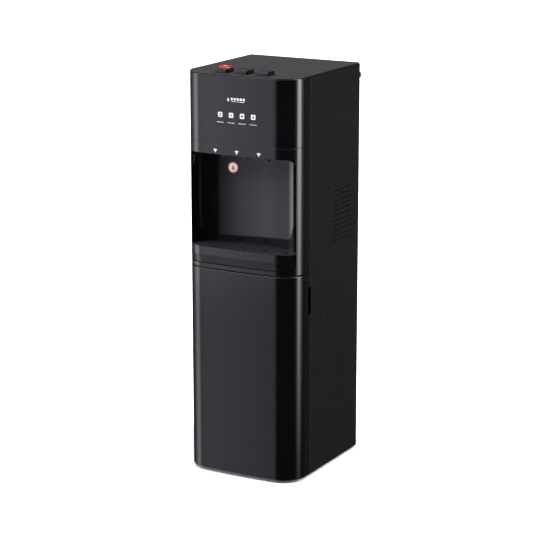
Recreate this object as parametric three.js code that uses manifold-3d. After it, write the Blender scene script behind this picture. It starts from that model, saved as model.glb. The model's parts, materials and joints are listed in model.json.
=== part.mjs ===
// A floor-standing water dispenser that is loaded from below: a tall black cabinet with a wrap-round
// moulded front, a tap niche with a drip tray, three push buttons on top and a bottle bay behind a door.
// Millimetres. X runs to the right, -Y is the front, +Z is up. The origin is on the floor, in the
// middle of the outer box.
import * as THREE from 'three';
import { mergeVertices } from 'three/addons/utils/BufferGeometryUtils.js';
import Module from 'manifold-3d';

const wasm = await Module();
wasm.setup();

// Overall sizes
const WIDTH = 322;
const DEPTH = 357;
const HEIGHT = 1040;
const CORNER_R = 60; // plan radius of the two front corners
const FRONT_R = 1700; // plan radius of the slightly bowed front
const SPACER_OUT = 7; // how far the rear spacers stand off the cabinet

// Material thicknesses and clearances
const WALL = 2.5; // moulded wall
const SHEET = 1; // steel sheet
const FIT = 0.3; // between pieces that rest on or in each other
const SLIDE = 0.5; // round a piece that slides by hand

// Heights of the front: from the floor up, and the last two down from the top
const FOOT_H = 5.7;
const BASE_T = 1.2;
const DOOR_Z0 = 8;
const DOOR_Z1 = 542;
const RAIL_Z0 = 544.5;
const OPEN_Z0 = 556;
const COVER_T = 2.7;
const OPEN_DOWN = 201; // top to the ceiling of the niche
const FACIA_H = 173.4; // top to the lower edge of the control facia

// Niche and drip tray
const COLUMN_W = 7.1; // column at each side of the opening, seen from the front
const OPEN_R = 22;
const NICHE_IN = 1; // the liner's hollow is this much narrower than the opening on each side
const NICHE_DEPTH = 93;
const NICHE_CORNER_R = 60;
const NICHE_BACK_R = 600;
const APRON_TOP = 599;
const APRON_T = 3.2;
const APRON_SET = 1; // the apron sits this far behind the front surface
const GRILLE_TOP = 597.3;
const GRILLE_T = 3.6;
const LEDGE = 2.8;
const TRAY_FLOOR = 2.4;
const DRAIN_L = 18;
const DRAIN_W = 12;
const DRAIN_AHEAD = 6; // the drains sit this far ahead of the tap axes
const FINGER_IN = 36; // side of the opening to the finger hole

// Side seam, door and hinge
const SEAM_DEPTH = 85; // front surface to the rear edge of the wrap-round mouldings
const SEAM_GAP = 2.2;
const PANEL_FLANGE = 12;
const REAR_FLANGE = 14;
const HINGE_IN = 6; // hinge axis to the outer side of the door
const HINGE_AHEAD = 9; // hinge axis to the rear edge of the door
const PIN_R = 2;
const PIN_RUN = 0.06; // radial play of the door on its pins
const PIN_HEAD_R = 3.2;
const SLOT_Z0 = 434;
const SLOT_Z1 = 506.5;
const SLOT_W = 14.7;
const SLOT_AHEAD = 8; // the finger slot starts this far ahead of the door's rear edge
const RIB_COUNT = 4;
const RIB_Z0 = 110;
const RIB_PITCH = 105;
const MAGNET_L = 30;

// Push buttons
const BUTTON_W = 36.5;
const BUTTON_D = 38;
const BUTTON_BACK = 21; // front surface to the front of the buttons
const BUTTON_PITCH = 57.7;
const BUTTON_UP = 10; // above the top cover
const BUTTON_H = 24;
const BUTTON_TRAVEL = 5;
const BUTTON_TOP_T = 4.5;
const STEM_R = 3.5;
const SPRING_R = 6;
const SPRING_WIRE_R = 0.6;
const SPRING_TURNS = 4;
const BOARD_T = 1.6;
const LOCK_W = 30;
const LOCK_D = 19;
const LOCK_UP = 5.5;
const LOCK_TRAVEL = 6;

// Taps
const TAP_PITCH = 62;
const TAP_BACK = 48; // front surface to the tap axis
const NOZZLE_R = 6;
const NOZZLE_DOWN = 14.5; // below the ceiling of the niche

// Indicator windows
const LENS_PITCH = 31.2;
const LENS_SIZE = 12.6;
const LENS_DOWN = 100; // top to the middle of the windows
const LENS_COUNT = 4;

// Side louvres
const LOUVRE_BACK = 211; // front surface to the louvres
const LOUVRE_L = 102;
const LOUVRE_Z0 = 596;
const LOUVRE_PITCH = 13;
const LOUVRE_H = 3;
const LOUVRE_COUNT = 11;

// Feet and spacers
const FOOT_R = 16;
const FOOT_IN = 36; // side of the cabinet to the middle of a foot
const FOOT_BACK = 50; // front surface to the front feet
const FOOT_AHEAD = 35; // rear feet to the rear edge
const SPACER_W = 10;
const SPACER_H = 14;
const SPACER_DOWN = 40;

// Bottle bay
const REST_IN = 18;
const REST_BACK = 37;
const REST_H = 10;
const REST_LIP = 7; // rim left round the bottle's seat
const PROBE_IN = 30;
const PROBE_AHEAD = 34; // probe axis to the rear panel
const PROBE_R = 6;
const PROBE_LONG = 410;
const PROBE_Z1 = 470;
const CAP_R = 24;
const CAP_H = 36;

// Works
const REAR_RECESS = 20; // rear edge of the sides to the rear panel
const SHELF_DOWN = 295;
const COLD_TANK_R = 72;
const COLD_JACKET_R = 94;
const HOT_TANK_R = 45;
const HOT_JACKET_R = 60;
const TANK_H = 190;
const TANK_WALL = 1.5;
const NECK_R = 9;
const JACKET_FLOOR = 15;
const JACKET_LOW = 8; // the jacket stops this far below the tank's shoulder
const COMPRESSOR_R = 68;
const COMPRESSOR_H = 165;
const POT_WALL = 8; // a thick wall, which stands for the motor's weight too
const STUB_R = 4; // open charging stub in the crown
const COMPRESSOR_LEFT = 22; // its axis is this far left of the hot tank's
const COMPRESSOR_PLATE = [150, 100];
const PUMP_IN = 52;
const PUMP_SIZE = [62, 48, 42];
const DRIER_R = 9;
const DRIER_H = 110;
const DRIER_LEFT = 140;

// Condenser coil
const COIL_R = 2.4;
const COIL_RUNS = 9;
const COIL_PITCH = 38;
const COIL_HALF = 118;
const COIL_DOWN = 350;
const STRAP_X = 80;
const STRAP_W = 10;

// Fittings in the rear panel
const SOCKET_Z = 640;
const RIM_T = 2.5;
const RIM_LAP = 3;
const INLET_IN = 41;
const INLET_SIZE = [44, 26, 22];
const INLET_HOLE = [32, 20, 17];
const SWITCH_X = -33;
const SWITCH_PITCH = 28;
const SWITCH_SIZE = [52, 26, 14];
const ROCKER_W = 13.8;
const ROCKER_H = 18;
const PLUG_R = 6;
const VENT_COUNT = 6;
const VENT_X0 = 18;
const VENT_PITCH = 9;
const VENT_W = 4;
const VENT_H = 70;

// Chords in curved outlines
const ARC_STEPS = 6;
const CORNER_STEPS = 3;

// Values that follow from the ones above
const HALF_W = WIDTH / 2;
const FRONT_Y = -(DEPTH + SPACER_OUT) / 2;
const REAR_Y = FRONT_Y + DEPTH;
const OPEN_HALF = HALF_W - COLUMN_W;
const OPEN_Z1 = HEIGHT - OPEN_DOWN;
const FACIA_Z0 = HEIGHT - FACIA_H;
const LENS_Z = HEIGHT - LENS_DOWN;
const CORNER_X = HALF_W - CORNER_R;
const FRONT_ARC_Y = FRONT_Y + FRONT_R;
const FOOT_X = HALF_W - FOOT_IN;
const FOOT_FRONT_Y = FRONT_Y + FOOT_BACK;
const FOOT_REAR_Y = REAR_Y - FOOT_AHEAD;
const CORNER_Y = FRONT_ARC_Y - Math.sqrt((FRONT_R - CORNER_R) ** 2 - CORNER_X ** 2);
const TANGENT = Math.atan2(CORNER_Y - FRONT_ARC_Y, CORNER_X);
const EDGE_Y = FRONT_Y + SEAM_DEPTH;
const PANEL_Y = EDGE_Y + SEAM_GAP;
const COVER_Z0 = HEIGHT - COVER_T;
const FACIA_Z1 = COVER_Z0 - FIT;
const BASE_Z1 = FOOT_H + FIT + BASE_T;
const PANEL_Z0 = BASE_Z1 + FIT;
const DECK_Z1 = RAIL_Z0 + BASE_T + FIT;
const REAR_PANEL_Y = REAR_Y - REAR_RECESS;
const FITTING_Y = REAR_PANEL_Y + SHEET + FIT;
const LOUVRE_Y0 = FRONT_Y + LOUVRE_BACK;
const SHELF_Z = HEIGHT - SHELF_DOWN;
const COIL_Z0 = HEIGHT - COIL_DOWN;
const HINGE_X = -(HALF_W - HINGE_IN);
const HINGE_Y = EDGE_Y - HINGE_AHEAD;
const TAP_Y = FRONT_Y + TAP_BACK;
const BUTTON_Y0 = FRONT_Y + BUTTON_BACK;
const BUTTON_Y1 = BUTTON_Y0 + BUTTON_D;
const BUTTON_Z1 = HEIGHT + BUTTON_UP;
const BUTTON_Z0 = BUTTON_Z1 - BUTTON_H;
const SWITCH_Z = BUTTON_Z0 - 14.2; // top of the small switches under the stems
const BOARD_Z = SWITCH_Z - 1.2;
const STEM_Z0 = SWITCH_Z + BUTTON_TRAVEL + 0.7;
const TANK_Y = REAR_PANEL_Y - COLD_JACKET_R - 13;
const COLD_X = -(HALF_W - COLD_JACKET_R - 9);
const HOT_X = HALF_W - HOT_JACKET_R - 3;
const PROBE_X = HALF_W - PROBE_IN;
const PROBE_Y = REAR_PANEL_Y - PROBE_AHEAD;
const INLET_X = -(HALF_W - INLET_IN);

// Finishes
const finish = (color, roughness, metalness = 0) => (
  new THREE.MeshStandardMaterial({ color, roughness, metalness })
);
const GLOSS_BLACK = finish(0x17171a, 0.25);
const SATIN_BLACK = finish(0x1d1d20, 0.5);
const PAINTED_STEEL = finish(0x1b1b1d, 0.45, 0.2);
const ZINC_STEEL = finish(0x9a9da0, 0.45, 0.9);
const STAINLESS = finish(0xc4c6c8, 0.3, 1);
const COPPER = finish(0xb4693f, 0.35, 1);
const RED = finish(0xb8202c, 0.4);
const WHITE_LENS = finish(0xe8ecee, 0.3);
const FOAM = finish(0xe2e4e0, 0.9);
const CLEAR_WHITE = finish(0xd8dcdc, 0.5);
const BOARD_GREEN = finish(0x1f5a38, 0.6);
const RUBBER = finish(0x101010, 0.85);

// Solids from three.js geometries
function toSolid(geometry) {
  const bare = geometry.clone();
  bare.deleteAttribute('normal');
  bare.deleteAttribute('uv');
  const merged = mergeVertices(bare, 1e-4);
  return new wasm.Manifold(new wasm.Mesh({
    numProp: 3,
    vertProperties: new Float32Array(merged.attributes.position.array),
    triVerts: new Uint32Array(merged.index.array),
  }));
}

function toGeometry(solid) {
  const mesh = solid.getMesh();
  const geometry = new THREE.BufferGeometry();
  geometry.setAttribute('position', new THREE.BufferAttribute(mesh.vertProperties, 3));
  geometry.setIndex(new THREE.BufferAttribute(mesh.triVerts, 1));
  geometry.computeVertexNormals();
  return geometry;
}

function block(x0, x1, y0, y1, z0, z1) {
  const geometry = new THREE.BoxGeometry(x1 - x0, y1 - y0, z1 - z0);
  geometry.translate((x0 + x1) / 2, (y0 + y1) / 2, (z0 + z1) / 2);
  return toSolid(geometry);
}

// A plan outline drawn in X and Y, raised from z0 to z1
function upright(shape, z0, z1, curveSegments = ARC_STEPS) {
  const options = { depth: z1 - z0, bevelEnabled: false, curveSegments };
  return toSolid(new THREE.ExtrudeGeometry(shape, options).translate(0, 0, z0));
}

// An outline drawn in X and Z, carried from y0 back to y1
function acrossDepth(shape, y0, y1) {
  const options = { depth: y1 - y0, bevelEnabled: false, curveSegments: CORNER_STEPS };
  return toSolid(new THREE.ExtrudeGeometry(shape, options).rotateX(Math.PI / 2).translate(0, y1, 0));
}

// An outline drawn in Y and Z, carried from x0 to x1
function acrossWidth(shape, x0, x1) {
  const options = { depth: x1 - x0, bevelEnabled: false, curveSegments: CORNER_STEPS };
  const turn = new THREE.Matrix4().makeBasis(
    new THREE.Vector3(0, 1, 0),
    new THREE.Vector3(0, 0, 1),
    new THREE.Vector3(1, 0, 0),
  );
  return toSolid(new THREE.ExtrudeGeometry(shape, options).applyMatrix4(turn).translate(x0, 0, 0));
}

// A round piece on a vertical axis at x, y, from [radius, height] points that start and end on it
function turned(profile, x = 0, y = 0, sides = 24) {
  const points = profile.map(([r, z]) => new THREE.Vector2(r, z));
  return toSolid(new THREE.LatheGeometry(points, sides).rotateX(Math.PI / 2).translate(x, y, 0));
}

const rod = (x, y, r, z0, z1, sides = 24) => turned([[0, z0], [r, z0], [r, z1], [0, z1]], x, y, sides);

// A rod along Y
function rodBack(x, z, r, y0, y1, sides = 24) {
  const geometry = new THREE.CylinderGeometry(r, r, y1 - y0, sides);
  return toSolid(geometry.translate(x, (y0 + y1) / 2, z));
}

function polygon(points) {
  return new THREE.Shape(points.map(([a, b]) => new THREE.Vector2(a, b)));
}

function roundedRect(x0, x1, y0, y1, r) {
  const shape = new THREE.Shape();
  shape.moveTo(x0 + r, y0);
  shape.lineTo(x1 - r, y0);
  shape.absarc(x1 - r, y0 + r, r, -Math.PI / 2, 0, false);
  shape.absarc(x1 - r, y1 - r, r, 0, Math.PI / 2, false);
  shape.absarc(x0 + r, y1 - r, r, Math.PI / 2, Math.PI, false);
  shape.absarc(x0 + r, y0 + r, r, Math.PI, 1.5 * Math.PI, false);
  return shape;
}

// Plan of the cabinet front moved in by inset, closed by a straight line at rearY
function frontPlan(inset, rearY) {
  const half = HALF_W - inset;
  const r = CORNER_R - inset;
  const shape = new THREE.Shape();
  shape.moveTo(half, rearY);
  shape.lineTo(half, CORNER_Y);
  shape.absarc(CORNER_X, CORNER_Y, r, 0, TANGENT, true);
  shape.absarc(0, FRONT_ARC_Y, FRONT_R - inset, TANGENT, -Math.PI - TANGENT, true);
  shape.absarc(-CORNER_X, CORNER_Y, r, -Math.PI - TANGENT, -Math.PI, true);
  shape.lineTo(-half, rearY);
  return shape;
}

// Plan of the niche moved in by inset: straight sides, large corners and a hollow back, open past the front
function nichePlan(inset) {
  const half = OPEN_HALF - NICHE_IN - inset;
  const cornerX = OPEN_HALF - NICHE_IN - NICHE_CORNER_R;
  const backY = FRONT_Y + NICHE_DEPTH - NICHE_BACK_R;
  const cornerY = backY + Math.sqrt((NICHE_BACK_R - NICHE_CORNER_R) ** 2 - cornerX ** 2);
  const turn = Math.atan2(cornerY - backY, cornerX);
  const shape = new THREE.Shape();
  shape.moveTo(half, FRONT_Y - 10);
  shape.lineTo(half, cornerY);
  shape.absarc(cornerX, cornerY, NICHE_CORNER_R - inset, 0, turn, false);
  shape.absarc(0, backY, NICHE_BACK_R - inset, turn, Math.PI - turn, false);
  shape.absarc(-cornerX, cornerY, NICHE_CORNER_R - inset, Math.PI - turn, Math.PI, false);
  shape.lineTo(-half, FRONT_Y - 10);
  return shape;
}

// Front surface of the cabinet at x, on its bowed stretch
const frontAt = (x) => FRONT_ARC_Y - Math.sqrt(FRONT_R ** 2 - x ** 2);

// A shell that wraps round the front from seam to seam
function wrapShell(z0, z1) {
  const inside = upright(frontPlan(WALL, EDGE_Y + 1), z0 - 1, z1 + 1);
  return upright(frontPlan(0, EDGE_Y), z0, z1).subtract(inside);
}

// The stretch of the cabinet plan between y0 and y1, moved in by inset
function frontSlab(inset, y0, y1, z0, z1) {
  return upright(frontPlan(inset, EDGE_Y), z0, z1).intersect(block(-WIDTH, WIDTH, y0, y1, z0, z1));
}

// The niche opening as a front-view prism, moved in by inset
function openingPrism(inset, z0, z1, y0, y1) {
  const half = OPEN_HALF - inset;
  return acrossDepth(roundedRect(-half, half, z0, z1, OPEN_R - inset), y0, y1);
}

function mesh(name, solid, material) {
  const made = new THREE.Mesh(toGeometry(solid), material);
  made.name = name;
  return made;
}

// Cabinet
function basePlate() {
  let plate = upright(frontPlan(SHEET + FIT, REAR_Y - 2), FOOT_H + FIT, BASE_Z1);
  for (const side of [-1, 1]) {
    const outer = side * (HALF_W - SHEET - 2 * FIT);
    const inner = outer - side * BASE_T;
    const lip = block(Math.min(outer, inner), Math.max(outer, inner),
      PANEL_Y + 5, REAR_PANEL_Y - 5, BASE_Z1 - BASE_T / 2, BASE_Z1 + 20);
    plate = plate.add(lip);
  }
  return mesh('base_plate', plate, ZINC_STEEL);
}

function foot(name, x, y) {
  const profile = [[0, 0], [FOOT_R - 3, 0], [FOOT_R, 2], [FOOT_R, FOOT_H], [0, FOOT_H]];
  const made = mesh(name, turned(profile), RUBBER);
  made.position.set(x, y, 0);
  return made;
}

function fingerSlot() {
  const y0 = EDGE_Y - SLOT_AHEAD;
  const outline = roundedRect(y0, y0 + SLOT_W, SLOT_Z0, SLOT_Z1, 5);
  return acrossWidth(outline, HALF_W - 25, HALF_W + 5);
}

function sidePanel(name, side) {
  const outer = side * HALF_W;
  const inner = side * (HALF_W - SHEET);
  const outline = polygon([
    [outer, PANEL_Y],
    [outer, REAR_Y],
    [outer - side * REAR_FLANGE, REAR_Y],
    [outer - side * REAR_FLANGE, REAR_Y - SHEET],
    [inner, REAR_Y - SHEET],
    [inner, PANEL_Y + SHEET],
    [outer - side * PANEL_FLANGE, PANEL_Y + SHEET],
    [outer - side * PANEL_FLANGE, PANEL_Y],
  ]);
  let panel = upright(outline, PANEL_Z0, FACIA_Z1);
  for (let i = 0; i < LOUVRE_COUNT; i += 1) {
    const z = LOUVRE_Z0 + i * LOUVRE_PITCH;
    const x0 = Math.min(outer, inner) - 1;
    panel = panel.subtract(block(x0, x0 + SHEET + 2, LOUVRE_Y0, LOUVRE_Y0 + LOUVRE_L, z, z + LOUVRE_H));
  }
  if (side > 0) panel = panel.subtract(fingerSlot());
  return mesh(name, panel, PAINTED_STEEL);
}

function rearPanel() {
  const half = HALF_W - SHEET - FIT;
  const back = REAR_Y - SHEET - FIT;
  const outline = polygon([
    [-half, REAR_PANEL_Y],
    [half, REAR_PANEL_Y],
    [half, back],
    [half - SHEET, back],
    [half - SHEET, REAR_PANEL_Y + SHEET],
    [-half + SHEET, REAR_PANEL_Y + SHEET],
    [-half + SHEET, back],
    [-half, back],
  ]);
  const y0 = REAR_PANEL_Y - 1;
  const y1 = REAR_PANEL_Y + SHEET + 1;
  let panel = upright(outline, PANEL_Z0, FACIA_Z1 - FIT)
    .subtract(panelBlock(INLET_X, INLET_SIZE, SLIDE, y0, y1))
    .subtract(panelBlock(SWITCH_X, SWITCH_SIZE, SLIDE, y0, y1))
    .subtract(rodBack(HOT_X, SOCKET_Z, PLUG_R + SLIDE, y0, y1));
  for (let i = 0; i < VENT_COUNT; i += 1) {
    const x = VENT_X0 + i * VENT_PITCH;
    panel = panel.subtract(block(x, x + VENT_W, y0, y1, SOCKET_Z - VENT_H + 10, SOCKET_Z + 10));
  }
  return mesh('rear_panel', panel, ZINC_STEEL);
}

function topCover() {
  let cover = upright(frontPlan(0.4, REAR_Y), COVER_Z0, HEIGHT);
  for (const i of [-1, 0, 1]) {
    const x = i * BUTTON_PITCH;
    const half = BUTTON_W / 2 + SLIDE;
    cover = cover.subtract(block(x - half, x + half,
      BUTTON_Y0 - SLIDE, BUTTON_Y1 + SLIDE, COVER_Z0 - 1, HEIGHT + 1));
  }
  return mesh('top_cover', cover, SATIN_BLACK);
}

function rearSpacer(name, side) {
  const x0 = side > 0 ? HALF_W - SPACER_W : -HALF_W;
  const z0 = HEIGHT - SPACER_DOWN;
  return mesh(name, block(x0, x0 + SPACER_W, REAR_Y + FIT, REAR_Y + SPACER_OUT, z0, z0 + SPACER_H), RUBBER);
}

// Head
const lensX = (index) => (index - (LENS_COUNT - 1) / 2) * LENS_PITCH;

function controlFacia() {
  let facia = wrapShell(FACIA_Z0, FACIA_Z1);
  const half = LENS_SIZE / 2 + FIT;
  for (let i = 0; i < LENS_COUNT; i += 1) {
    const x = lensX(i);
    facia = facia.subtract(block(x - half, x + half,
      FRONT_Y - 2, FRONT_Y + 8, LENS_Z - half, LENS_Z + half));
  }
  return mesh('control_facia', facia, GLOSS_BLACK);
}

function indicatorLens(index) {
  const x = lensX(index);
  const half = LENS_SIZE / 2;
  const made = mesh(`indicator_lens_${index + 1}`, block(-half, half, 0, 6, -half, half), WHITE_LENS);
  made.position.set(x, frontAt(x) + 0.4, LENS_Z);
  return made;
}

function controlBoard() {
  const y = FRONT_Y + 13;
  const half = (LENS_COUNT + 1) * LENS_PITCH / 2;
  return mesh('control_board', block(-half, half, y, y + BOARD_T, LENS_Z - 25, LENS_Z + 22), BOARD_GREEN);
}

function buttonBoard() {
  const half = BUTTON_PITCH + 24;
  const middle = (BUTTON_Y0 + BUTTON_Y1) / 2;
  let board = block(-half, half, BUTTON_Y0 - 4, BUTTON_Y1 + 4, BOARD_Z - BOARD_T, BOARD_Z);
  for (const i of [-1, 0, 1]) {
    const x = i * BUTTON_PITCH;
    board = board.add(block(x - 3, x + 3, middle - 3, middle + 3, BOARD_Z - 1, SWITCH_Z));
  }
  return mesh('button_board', board, BOARD_GREEN);
}

// A hollow cap with a stop flange and a stem, drawn with the stem's axis at x = y = 0
function buttonCap() {
  const halfW = BUTTON_W / 2;
  const halfD = BUTTON_D / 2;
  const profile = polygon([
    [-halfD, BUTTON_Z0],
    [halfD, BUTTON_Z0],
    [halfD, BUTTON_Z1 - 0.8],
    [halfD - 0.8, BUTTON_Z1],
    [-halfD + 1.6, BUTTON_Z1],
    [-halfD, BUTTON_Z1 - 1.6],
  ]);
  const flangeTop = COVER_Z0 - 0.4;
  const flange = block(-halfW - 1.5, halfW + 1.5, -halfD - 1.5, halfD + 1.5, flangeTop - 3, flangeTop);
  const pocket = block(-halfW + WALL, halfW - WALL, -halfD + WALL, halfD - WALL,
    BUTTON_Z0 - 1, BUTTON_Z1 - BUTTON_TOP_T);
  return acrossWidth(profile, -halfW, halfW)
    .add(flange)
    .subtract(pocket)
    .add(rod(0, 0, STEM_R, STEM_Z0, BUTTON_Z1 - BUTTON_TOP_T / 2 - 1, 16));
}

function button(name, index, solid) {
  const made = mesh(name, solid, GLOSS_BLACK);
  made.position.set(index * BUTTON_PITCH, (BUTTON_Y0 + BUTTON_Y1) / 2, 0);
  return made;
}

// Shallow recess that the lock slides in
function lockRecess() {
  const y1 = BUTTON_D / 2 - 2;
  const y0 = y1 - LOCK_D - LOCK_TRAVEL - 2 * SLIDE;
  const half = LOCK_W / 2 + SLIDE;
  return block(-half, half, y0, y1, BUTTON_Z1 - 1.8, BUTTON_Z1 + 1);
}

function hotLockSlider() {
  const y1 = BUTTON_D / 2 - 2 - SLIDE;
  const y0 = y1 - LOCK_D;
  const z0 = BUTTON_Z1 - 1.5;
  const top = BUTTON_Z1 + LOCK_UP;
  const profile = polygon([
    [y0, z0],
    [y1, z0],
    [y1, top - 2],
    [y1 - 3, top],
    [y0 + 8, top],
    [y0, BUTTON_Z1 + 1.5],
  ]);
  const made = mesh('hot_lock_slider', acrossWidth(profile, -LOCK_W / 2, LOCK_W / 2), RED);
  made.position.set(-BUTTON_PITCH, (BUTTON_Y0 + BUTTON_Y1) / 2, 0);
  return made;
}

// Coil spring under a button, standing on the button board
class Helix extends THREE.Curve {
  constructor(radius, turns, z0, z1) {
    super();
    Object.assign(this, { radius, turns, z0, z1 });
  }

  getPoint(t, target = new THREE.Vector3()) {
    const angle = 2 * Math.PI * this.turns * t;
    const z = this.z0 + (this.z1 - this.z0) * t;
    return target.set(this.radius * Math.cos(angle), this.radius * Math.sin(angle), z);
  }
}

function circle(r) {
  const shape = new THREE.Shape();
  shape.absarc(0, 0, r, 0, 2 * Math.PI, false);
  return shape;
}

function buttonSpring(name, index) {
  const lead = SPRING_WIRE_R + FIT;
  const path = new Helix(SPRING_R, SPRING_TURNS, BOARD_Z + lead, BUTTON_Z1 - BUTTON_TOP_T - lead);
  const options = { steps: 7 * SPRING_TURNS, extrudePath: path, bevelEnabled: false, curveSegments: 3 };
  const made = mesh(name, toSolid(new THREE.ExtrudeGeometry(circle(SPRING_WIRE_R), options)), ZINC_STEEL);
  made.position.set(index * BUTTON_PITCH, (BUTTON_Y0 + BUTTON_Y1) / 2, 0);
  return made;
}

// Taps
function nozzle(name, index) {
  const tip = OPEN_Z1 - NOZZLE_DOWN;
  const seat = OPEN_Z1 + WALL + FIT;
  const profile = [
    [3.5, tip],
    [NOZZLE_R, tip],
    [NOZZLE_R + 1, seat],
    [11, seat],
    [11, seat + 3],
    [3.5, seat + 3],
    [3.5, tip],
  ];
  const made = mesh(name, turned(profile, 0, 0, 18), SATIN_BLACK);
  made.position.set(index * TAP_PITCH, TAP_Y, 0);
  return made;
}

function valve(name, index) {
  const z0 = OPEN_Z1 + WALL + FIT + 3 + FIT;
  const body = block(-13, 13, -16, 20, z0, z0 + 26).add(rod(0, 6, 11, z0 + 20, z0 + 54, 16));
  const made = mesh(name, body, CLEAR_WHITE);
  made.position.set(index * TAP_PITCH, TAP_Y, 0);
  return made;
}

// Niche
function nicheSurround() {
  const opening = openingPrism(0, OPEN_Z0, OPEN_Z1, FRONT_Y - 5, CORNER_Y - 4);
  return mesh('niche_surround', wrapShell(RAIL_Z0, FACIA_Z0 - FIT).subtract(opening), GLOSS_BLACK);
}

function nicheLiner() {
  const behindShell = upright(frontPlan(WALL + FIT, 0), OPEN_Z0 - 10, OPEN_Z1 + 10);
  const outer = upright(nichePlan(-WALL), OPEN_Z0 - WALL, OPEN_Z1 + WALL)
    .intersect(openingPrism(-WALL, OPEN_Z0 - WALL, OPEN_Z1 + WALL, FRONT_Y - 5, 0))
    .intersect(behindShell);
  const hollow = upright(nichePlan(0), OPEN_Z0, OPEN_Z1)
    .intersect(openingPrism(NICHE_IN, OPEN_Z0, OPEN_Z1, FRONT_Y - 20, 0));
  let liner = outer.subtract(hollow);
  for (const i of [-1, 0, 1]) {
    liner = liner.subtract(rod(i * TAP_PITCH, TAP_Y, NOZZLE_R + 1 + SLIDE, OPEN_Z1 - 5, OPEN_Z1 + 5));
  }
  return mesh('niche_liner', liner, GLOSS_BLACK);
}

// The space that the tray fills, moved in by inset at the niche walls and by set at the front
function trayRegion(inset, set, z0, z1) {
  return upright(nichePlan(inset), z0, z1).intersect(upright(frontPlan(set, 0), z0, z1));
}

function dripTray() {
  const z0 = OPEN_Z0 + SLIDE;
  const ledgeZ = GRILLE_TOP - GRILLE_T - FIT;
  const apronBack = APRON_SET + APRON_T;
  const inOpening = openingPrism(NICHE_IN + SLIDE, z0, OPEN_Z1, FRONT_Y - 5, 0);
  const tray = trayRegion(SLIDE, APRON_SET, z0, APRON_TOP)
    .intersect(inOpening)
    .subtract(upright(frontPlan(apronBack, 0), GRILLE_TOP, APRON_TOP + 1))
    .subtract(trayRegion(SLIDE + WALL, apronBack, ledgeZ, APRON_TOP + 1))
    .subtract(trayRegion(SLIDE + WALL + LEDGE, apronBack + LEDGE, z0 + TRAY_FLOOR, ledgeZ + 1));
  return mesh('drip_tray', tray, GLOSS_BLACK);
}

function dripGrille() {
  const z0 = GRILLE_TOP - GRILLE_T;
  let grille = trayRegion(2 * SLIDE + WALL, APRON_SET + APRON_T + SLIDE, z0, GRILLE_TOP);
  const halfW = DRAIN_W / 2;
  const halfL = DRAIN_L / 2;
  const y = TAP_Y - DRAIN_AHEAD;
  for (const x of [-TAP_PITCH, 0, TAP_PITCH, OPEN_HALF - FINGER_IN]) {
    const drain = roundedRect(x - halfL, x + halfL, y - halfW, y + halfW, halfW - 0.01);
    grille = grille.subtract(upright(drain, z0 - 1, GRILLE_TOP + 1, CORNER_STEPS));
  }
  return mesh('drip_grille', grille, SATIN_BLACK);
}

// Door
function doorShell() {
  let door = wrapShell(DOOR_Z0, DOOR_Z1);
  for (const z of [DOOR_Z0 + 1, DOOR_Z1 - 1 - WALL]) {
    const ledge = frontSlab(WALL / 2, FRONT_Y, FRONT_Y + 20, z, z + WALL);
    const lug = block(-HALF_W + WALL / 2, HINGE_X + HINGE_IN, HINGE_Y - 7, HINGE_Y + HINGE_IN, z, z + WALL);
    door = door.add(ledge).add(lug).subtract(rod(HINGE_X, HINGE_Y, PIN_R + PIN_RUN, z - 1, z + WALL + 1));
  }
  return mesh('door_shell', door.subtract(fingerSlot()), GLOSS_BLACK);
}

function doorLiner() {
  const y1 = FRONT_Y + 22.5;
  let liner = frontSlab(WALL + FIT, y1 - 2, y1, DOOR_Z0 + 4, DOOR_Z1 - 4);
  const half = CORNER_X + 20;
  for (let i = 0; i < RIB_COUNT; i += 1) {
    const z = RIB_Z0 + i * RIB_PITCH;
    liner = liner.add(block(-half, half, y1 - 1, y1 + 3, z, z + 10));
  }
  return mesh('door_liner', liner, SATIN_BLACK);
}

function doorMagnet() {
  const x1 = HALF_W - WALL - FIT;
  const z0 = (DOOR_Z0 + DOOR_Z1 - MAGNET_L) / 2;
  return mesh('door_magnet', block(x1 - 11, x1, EDGE_Y - 9, PANEL_Y - 2 * FIT, z0, z0 + MAGNET_L), RUBBER);
}

function hingePin(name, headZ, endZ) {
  const head = headZ < endZ ? [headZ, headZ + 1.1] : [headZ - 1.1, headZ];
  const shaft = headZ < endZ ? [headZ, endZ] : [endZ, headZ];
  const pin = rod(0, 0, PIN_HEAD_R, ...head).add(rod(0, 0, PIN_R, ...shaft));
  const made = mesh(name, pin, STAINLESS);
  made.position.set(HINGE_X, HINGE_Y, 0);
  return made;
}

// Bottle bay
function bottleRest() {
  const half = HALF_W - REST_IN;
  const y0 = FRONT_Y + REST_BACK;
  const y1 = REAR_PANEL_Y - 5;
  const seat = Math.min(half, (y1 - y0) / 2) - REST_LIP;
  const rest = block(-half, half, y0, y1, PANEL_Z0, PANEL_Z0 + REST_H)
    .subtract(rod(0, (y0 + y1) / 2, seat, PANEL_Z0 + 4, PANEL_Z0 + REST_H + 1, 40));
  return mesh('bottle_rest', rest, SATIN_BLACK);
}

function middleDeck() {
  const z0 = DECK_Z1 - BASE_T;
  let deck = upright(frontPlan(WALL + FIT, REAR_PANEL_Y - FIT), z0, DECK_Z1);
  const flangeX = HALF_W - PANEL_FLANGE - SLIDE;
  for (const x of [-HALF_W, flangeX]) {
    const notch = block(x, x + PANEL_FLANGE + SLIDE,
      PANEL_Y - SLIDE, PANEL_Y + SHEET + SLIDE, z0 - 1, DECK_Z1 + 1);
    deck = deck.subtract(notch);
  }
  return mesh('middle_deck', deck, ZINC_STEEL);
}

function probeTube() {
  const z0 = PROBE_Z1 - PROBE_LONG;
  const bore = PROBE_R - 1.5;
  const profile = [[bore, z0], [PROBE_R, z0], [PROBE_R, PROBE_Z1], [bore, PROBE_Z1], [bore, z0]];
  return mesh('probe_tube', turned(profile, PROBE_X, PROBE_Y, 16), CLEAR_WHITE);
}

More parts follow.
